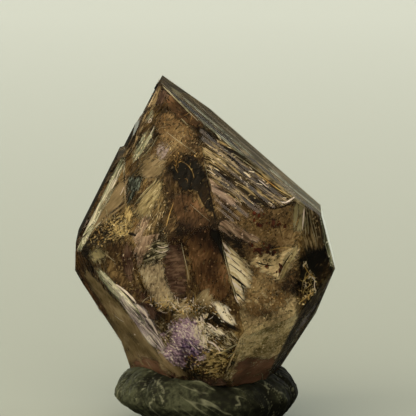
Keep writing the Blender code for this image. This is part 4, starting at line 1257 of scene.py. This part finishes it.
def film_material(name, stops, look, edged):
    """Film of fluid, clay or iron oxide in quartz.

    Colour runs from stops[1] to stops[2] in clouds about 4 mm across, and streaks about
    0.3 mm across the grain reach on to stops[0] and stops[3].  Painted glints, as hairlines
    and plates, take stops[3], cracks and specks take stops[0].  The film is thin where its
    cloud thins out.
    """
    metallic, roughness, solid, streak, painted_glint, speck = look
    made, tree, out = new_material(name)
    grain = add(tree, "ShaderNodeUVMap", {"uv_map": "mm"}).outputs[0]
    where = add(tree, "ShaderNodeTexCoord").outputs["Object"]
    tone = add(tree, "ShaderNodeAttribute", {"attribute_name": "tone"}).outputs["Fac"]
    flat = {"noise_dimensions": "2D"}
    # Clouds, streaks, painted glint hairlines, cells for painted sparkles and specks, and holes,
    # by their size in the film.
    clouds = {"Vector": where, "Scale": 260.0, "Detail": 2.0}
    clouds = add(tree, "ShaderNodeTexNoise", inputs=clouds).outputs["Fac"]
    streaks = {"Vector": grain, "Scale": 3.0, "Detail": 6.0, "Roughness": 0.55, "Distortion": 0.3}
    streaks = add(tree, "ShaderNodeTexNoise", flat, streaks).outputs["Fac"]
    winding = {"Vector": grain, "Scale": 1.1, "Detail": 4.0, "Distortion": 1.0}
    winding = add(tree, "ShaderNodeTexNoise", flat, winding).outputs["Fac"]
    holes = {"Vector": grain, "Scale": 2.2, "Detail": 5.0, "Roughness": 0.6}
    holes = add(tree, "ShaderNodeTexNoise", flat, holes).outputs["Fac"]
    sparkle_and_speck_cells = add(tree, "ShaderNodeTexVoronoi", inputs={"Vector": where, "Scale": 4500.0})
    sparkle_and_speck_cells = {"Color": sparkle_and_speck_cells.outputs["Color"]}
    chance = add(tree, "ShaderNodeSeparateColor", inputs=sparkle_and_speck_cells).outputs
    # Share of the lighter base colour.
    drift = add(tree, "ShaderNodeMath", {"operation": "SUBTRACT"}, {0: streaks, 1: 0.5}).outputs[0]
    lift = {0: drift, 1: 1.3 * streak, 2: clouds}
    lift = add(tree, "ShaderNodeMath", {"operation": "MULTIPLY_ADD"}, lift).outputs[0]
    lift = {0: tone, 1: 0.12 * streak, 2: lift}
    lift = add(tree, "ShaderNodeMath", {"operation": "MULTIPLY_ADD"}, lift).outputs[0]
    places = zip((0.30, 0.45, 0.60, 0.80), stops)
    ramp = add(tree, "ShaderNodeValToRGB", inputs={"Fac": lift}, stops=places)
    # Painted glint hairlines run where the winding noise crosses its middle, and only in
    # lighter streaks.
    off = add(tree, "ShaderNodeMath", {"operation": "SUBTRACT"}, {0: winding, 1: 0.5}).outputs[0]
    off = add(tree, "ShaderNodeMath", {"operation": "ABSOLUTE"}, {0: off}).outputs[0]
    painted_glint_line = {"Value": off, "From Min": 0.004, "From Max": 0.016, "To Min": painted_glint, "To Max": 0.0}
    painted_glint_line = add(tree, "ShaderNodeMapRange", inputs=painted_glint_line).outputs[0]
    where_light = {"Value": streaks, "From Min": 0.50, "From Max": 0.58}
    where_light = add(tree, "ShaderNodeMapRange", inputs=where_light).outputs[0]
    painted_glint_line = {0: painted_glint_line, 1: where_light}
    painted_glint_line = add(tree, "ShaderNodeMath", {"operation": "MULTIPLY"}, painted_glint_line).outputs[0]
    # Painted sparkles: a few cells take the lightest colour.
    painted_sparkle = {"Value": chance["Green"], "From Min": 1.0 - 0.10 * painted_glint}
    painted_sparkle["From Max"] = 1.01 - 0.07 * painted_glint
    painted_sparkle = add(tree, "ShaderNodeMapRange", inputs=painted_sparkle).outputs[0]
    painted_glint_share = add(tree, "ShaderNodeMath", {"operation": "MAXIMUM"}, {0: painted_glint_line, 1: painted_sparkle}).outputs[0]
    dark = {"Value": chance["Blue"], "From Min": 1.0 - 0.14 * speck}
    dark["From Max"] = 1.01 - 0.10 * speck
    dark = add(tree, "ShaderNodeMapRange", inputs=dark).outputs[0]
    colour = ramp.outputs["Color"]
    for share, end in ((dark, 0), (painted_glint_share, 3)):
        inputs = {0: share, 6: colour, 7: linear(stops[end])}
        colour = add(tree, "ShaderNodeMix", {"data_type": "RGBA"}, inputs).outputs[2]
    skin = {"Base Color": colour, "Roughness": roughness, "Metallic": metallic}
    skin["Specular IOR Level"] = 0.12
    shader = add(tree, "ShaderNodeBsdfPrincipled", inputs=skin)
    clear = add(tree, "ShaderNodeBsdfTransparent")
    cover = add(tree, "ShaderNodeAttribute", {"attribute_name": "cover"}).outputs["Fac"]
    share = add(tree, "ShaderNodeMix", inputs={0: 0.2, 2: holes, 3: cover}).outputs[0]
    low = 0.62 - 0.45 * solid
    share = {"Value": share, "From Min": low, "From Max": low + 0.22}
    share = add(tree, "ShaderNodeMapRange", inputs=share).outputs[0]
    if edged:
        inset = add(tree, "ShaderNodeAttribute", {"attribute_name": "inset"}).outputs["Fac"]
        ragged = {0: holes, 1: 2.4, 2: inset}
        ragged = add(tree, "ShaderNodeMath", {"operation": "MULTIPLY_ADD"}, ragged).outputs[0]
        rim = {"Value": ragged, "From Min": 1.3, "From Max": 2.2}
        rim = add(tree, "ShaderNodeMapRange", inputs=rim).outputs[0]
        share = {0: share, 1: rim}
        share = add(tree, "ShaderNodeMath", {"operation": "MULTIPLY"}, share).outputs[0]
    both = {0: share, 1: clear.outputs[0], 2: shader.outputs[0]}
    both = add(tree, "ShaderNodeMixShader", inputs=both)
    tree.links.new(both.outputs[0], out.inputs["Surface"])
    return made


def smoky_quartz(settings):
    """Smoky quartz: clear, glassy growth faces, grown and never polished.

    Plain transmission with quartz's index, and plain absorption that turns it brown where
    light has far to go.
    """
    made, tree, out = new_material("smoky_quartz")
    skin = {"Base Color": linear("faf3dc"), "Roughness": 0.0, "IOR": QUARTZ_IOR}
    skin["Transmission Weight"] = 1.0
    shader = add(tree, "ShaderNodeBsdfPrincipled", inputs=skin)
    smoke = {"Color": linear(settings.smoke_hex), "Density": settings.smoke_density}
    smoke = add(tree, "ShaderNodeVolumeAbsorption", inputs=smoke)
    tree.links.new(shader.outputs[0], out.inputs["Surface"])
    tree.links.new(smoke.outputs[0], out.inputs["Volume"])
    return made


class CrystalSettings(bpy.types.PropertyGroup):
    """Finish of the crystal's quartz."""

    smoke_hex: bpy.props.StringProperty(
        name="Smoke colour", description="Colour that long paths tend to", default="c4a878"
    )
    smoke_density: bpy.props.FloatProperty(
        name="Smoke density", description="Absorption per metre", default=60.0, min=0.0
    )


class CoreSettings(bpy.types.PropertyGroup):
    """The cloudy core."""

    facets: bpy.props.FloatProperty(
        name="Facets", description="Crumpled facets, times the usual number", default=1.0
    )
    extra_depth: bpy.props.FloatProperty(
        name="Extra depth", description="How much deeper the core lies", default=0.0, unit="LENGTH"
    )
    relief: bpy.props.FloatProperty(
        name="Relief", description="How deep the facets are", default=0.00016, unit="LENGTH"
    )
    seed: bpy.props.IntProperty(name="Seed", description="Seed of the facets", default=4)


class TackSettings(bpy.types.PropertyGroup):
    """The lump of mineral tack."""

    folds: bpy.props.FloatProperty(
        name="Folds", description="Depth of the folds", default=0.0006, unit="LENGTH"
    )
    fibres: bpy.props.FloatProperty(
        name="Fibres", description="Height of the fibres", default=0.00012, unit="LENGTH"
    )
    clearance: bpy.props.FloatProperty(
        name="Clearance", description="Gap to the crystal", default=0.00004, unit="LENGTH"
    )


class StageSettings(bpy.types.PropertyGroup):
    """The camera of the stage: its lens, distance and elevation."""

    lens: bpy.props.FloatProperty(
        name="Lens",
        description="Focal length in mm",
        default=round(SENSOR * VIEW_DISTANCE / VIEW_WIDTH, 1),
    )
    distance: bpy.props.FloatProperty(
        name="Camera distance",
        description="From the target",
        default=VIEW_DISTANCE * MM,
        unit="LENGTH",
    )
    elevation: bpy.props.FloatProperty(
        name="Camera elevation",
        description="Above level",
        default=VIEW_RISE,
        subtype="ANGLE",
    )


class CRYSTAL_OT_quartz(bpy.types.Operator):
    """Give the crystal its finish."""

    bl_idname = "crystal.quartz"
    bl_label = "Finish the quartz"

    def execute(self, context):
        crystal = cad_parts["amethyst_crystal"]
        crystal.data.materials.clear()
        crystal.data.materials.append(smoky_quartz(context.scene.crystal))
        return {"FINISHED"}


class CRYSTAL_OT_core(bpy.types.Operator):
    """Add the cloudy core inside the crystal."""

    bl_idname = "crystal.core"
    bl_label = "Add the core"

    def execute(self, context):
        points, faces, uv, values = core_surface(context.scene.core)
        core = mesh_object("cloudy_core", points, faces, values, uv)
        core.data.materials.append(film_material("included_quartz", *CORE_FINISH, False))
        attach(core, "root")
        return {"FINISHED"}


class CRYSTAL_OT_films(bpy.types.Operator):
    """Add the films, threads and flakes inside the crystal."""

    bl_idname = "crystal.films"
    bl_label = "Add films and flakes"

    def execute(self, context):
        rng = np.random.default_rng(context.scene.core.seed)
        groups = {}
        sheets, hairs = strewn_rows(rng)
        jobs = (
            (sheet_surface, strip_rows() + placed(SHEETS) + sheets),
            (thread_surface, placed(LINES)),
            (flake_surface, placed(FLAKES)),
            (hair_surface, placed(HAIRS) + hairs),
        )
        for surface, rows in jobs:
            for kind, *row in rows:
                groups.setdefault(kind, []).append(surface(*row, rng))
        for kind, parts in groups.items():
            points, faces, uv, values = merge(parts)
            made = mesh_object(kind, points, faces, values, uv)
            made.data.materials.append(film_material(kind, *FINISHES[kind], True))
            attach(made, "root")
        return {"FINISHED"}


class CRYSTAL_OT_tack(bpy.types.Operator):
    """Replace the lump of tack by its kneaded, fibrous surface."""

    bl_idname = "crystal.tack"
    bl_label = "Knead the tack"

    def execute(self, context):
        points, faces, values = tack_surface(context.scene.tack)
        tack = mesh_object("kneaded_tack", points, faces, values)
        tack.data.materials.append(tack_material())
        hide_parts("mineral_tack")
        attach(tack, "root")
        return {"FINISHED"}


# Soft lights: name, bearing (0 is from the camera's side, counted anticlockwise from above),
# elevation and spread in degrees, strength, colour.
STUDIO_LIGHTS = (
    ("key", -29, 38, 87, 5.55, "fff1dd"),
    ("rim_left", -150, 32, 56, 2.4, "ffffff"),
    ("rim_right", 150, 40, 80, 2.4, "ffffff"),
)
# Each light is mirrored only by a dimmer twin, as behind a flag, so that faces turned to it
# keep their depth.
SHEEN_SHARE = 0.4
# Colours of the backdrop by height, from dark below a pale sweep to dim above it.
BACKDROP = (
    (-0.06, "24241f"),
    (-0.03, "d6dac6"),
    (0.003, "d9decb"),
    (0.020, "8f8a74"),
    (0.045, "4c493d"),
)
FLOOR_SIZE = 20.0


def lay_floor(scene):
    """A plain floor with a painted falloff of light, darker near the middle and paler further off, that
    is left out of reflections.
    """
    made, tree, out = new_material("pale_board")
    where = add(tree, "ShaderNodeTexCoord").outputs["Object"]
    far = add(tree, "ShaderNodeVectorMath", {"operation": "LENGTH"}, {0: where})
    # Painted light falloff: darker near the middle, paler further off.
    stops = ((0.0, "82877c"), (0.58, "9da39c"))
    painted_falloff = {"Fac": far.outputs["Value"]}
    painted_falloff = add(tree, "ShaderNodeValToRGB", inputs=painted_falloff, stops=stops)
    painted_falloff = {"Color": painted_falloff.outputs["Color"]}
    shader = add(tree, "ShaderNodeBsdfDiffuse", inputs=painted_falloff)
    tree.links.new(shader.outputs[0], out.inputs["Surface"])
    mesh = bpy.data.meshes.new("floor")
    corners = [(x * FLOOR_SIZE, y * FLOOR_SIZE, 0) for x, y in ((-1, -1), (1, -1), (1, 1), (-1, 1))]
    mesh.from_pydata(corners, [], [(0, 1, 2, 3)])
    mesh.materials.append(made)
    floor = bpy.data.objects.new("floor", mesh)
    scene.collection.objects.link(floor)
    floor.visible_glossy = False


def hang_backdrop(scene):
    """A pale sweep at eye level, which reaches further down straight behind the crystal.

    The height that the colour is read at is max(z, z * squeeze), and squeeze falls from 1 to
    0.2 where y - 3 |x - 0.12| passes from 0.45 to 0.6.
    """
    world = bpy.data.worlds.new("studio")
    scene.world = world
    world.use_nodes = True
    tree = world.node_tree
    way = add(tree, "ShaderNodeTexCoord").outputs["Generated"]
    x, y, z = add(tree, "ShaderNodeSeparateXYZ", inputs={0: way}).outputs
    aside = add(tree, "ShaderNodeMath", {"operation": "SUBTRACT"}, {0: x, 1: 0.12}).outputs[0]
    aside = add(tree, "ShaderNodeMath", {"operation": "ABSOLUTE"}, {0: aside}).outputs[0]
    behind = {0: aside, 1: -3.0, 2: y}
    behind = add(tree, "ShaderNodeMath", {"operation": "MULTIPLY_ADD"}, behind).outputs[0]
    squeeze = {"Value": behind, "From Min": 0.45, "From Max": 0.6, "To Min": 1.0, "To Max": 0.2}
    squeeze = add(tree, "ShaderNodeMapRange", inputs=squeeze).outputs[0]
    low = add(tree, "ShaderNodeMath", {"operation": "MULTIPLY"}, {0: z, 1: squeeze}).outputs[0]
    height = add(tree, "ShaderNodeMath", {"operation": "MAXIMUM"}, {0: z, 1: low}).outputs[0]
    height = add(tree, "ShaderNodeMapRange", inputs={"Value": height, "From Min": -1.0})
    stops = [(0.5 + place / 2, colour) for place, colour in BACKDROP]
    sweep = {"Fac": height.outputs["Result"]}
    sweep = add(tree, "ShaderNodeValToRGB", inputs=sweep, stops=stops).outputs["Color"]
    tree.links.new(sweep, tree.nodes["Background"].inputs["Color"])


def hang_lights(scene):
    """The soft lights, each as one lamp that lights and a dimmer one that is mirrored."""
    for name, angle, rise, spread, power, colour in STUDIO_LIGHTS:
        for sheen in (False, True):
            lamp = bpy.data.lights.new(name + "_sheen" * sheen, "SUN")
            lamp.energy = power * (SHEEN_SHARE if sheen else 1.0)
            lamp.color = linear(colour)[:3]
            lamp.angle = math.radians(spread)
            holder = bpy.data.objects.new(lamp.name, lamp)
            scene.collection.objects.link(holder)
            holder.rotation_euler = (math.radians(90 - rise), 0, math.radians(angle))
            holder.visible_glossy = sheen
            holder.visible_diffuse = holder.visible_transmission = not sheen


def set_camera(scene):
    """A camera straight before the target, raised by the set elevation."""
    data = bpy.data.cameras.new("camera")
    data.lens = scene.stage.lens
    data.clip_start = 0.01
    camera = bpy.data.objects.new("camera", data)
    scene.collection.objects.link(camera)
    tilt = scene.stage.elevation
    back = Vector((0, -math.cos(tilt), math.sin(tilt)))
    camera.location = Vector(TARGET) * MM + back * scene.stage.distance
    camera.rotation_euler = (math.pi / 2 - tilt, 0, 0)
    scene.camera = camera


class CRYSTAL_OT_stage(bpy.types.Operator):
    """Add the floor, the soft light and the camera."""

    bl_idname = "crystal.stage"
    bl_label = "Set the stage"

    def execute(self, context):
        scene = context.scene
        lay_floor(scene)
        hang_backdrop(scene)
        hang_lights(scene)
        set_camera(scene)
        scene.view_settings.view_transform = "Standard"
        scene.cycles.transparent_max_bounces = 32
        return {"FINISHED"}


class CRYSTAL_PT_panel(bpy.types.Panel):
    """Lists the steps that build the object."""

    bl_label = "Scepter crystal"
    bl_space_type = "VIEW_3D"
    bl_region_type = "UI"
    bl_category = "Crystal"

    def draw(self, context):
        for step in STEPS:
            self.layout.operator(step.bl_idname)


STEPS = (CRYSTAL_OT_quartz, CRYSTAL_OT_core, CRYSTAL_OT_films, CRYSTAL_OT_tack, CRYSTAL_OT_stage)
CLASSES = (CrystalSettings, CoreSettings, TackSettings, StageSettings, *STEPS, CRYSTAL_PT_panel)


def register():
    """Register the classes and hang the settings on the scene."""
    for cls in CLASSES:
        bpy.utils.register_class(cls)
    bpy.types.Scene.crystal = bpy.props.PointerProperty(type=CrystalSettings)
    bpy.types.Scene.core = bpy.props.PointerProperty(type=CoreSettings)
    bpy.types.Scene.tack = bpy.props.PointerProperty(type=TackSettings)
    bpy.types.Scene.stage = bpy.props.PointerProperty(type=StageSettings)


def unregister():
    """Take off what register put on."""
    del bpy.types.Scene.stage
    del bpy.types.Scene.tack
    del bpy.types.Scene.core
    del bpy.types.Scene.crystal
    for cls in reversed(CLASSES):
        bpy.utils.unregister_class(cls)


def main():
    """Build the object step by step."""
    register()
    bpy.ops.crystal.quartz()
    bpy.ops.crystal.core()
    bpy.ops.crystal.films()
    bpy.ops.crystal.tack()
    bpy.ops.crystal.stage()


if __name__ == "__main__":
    main()
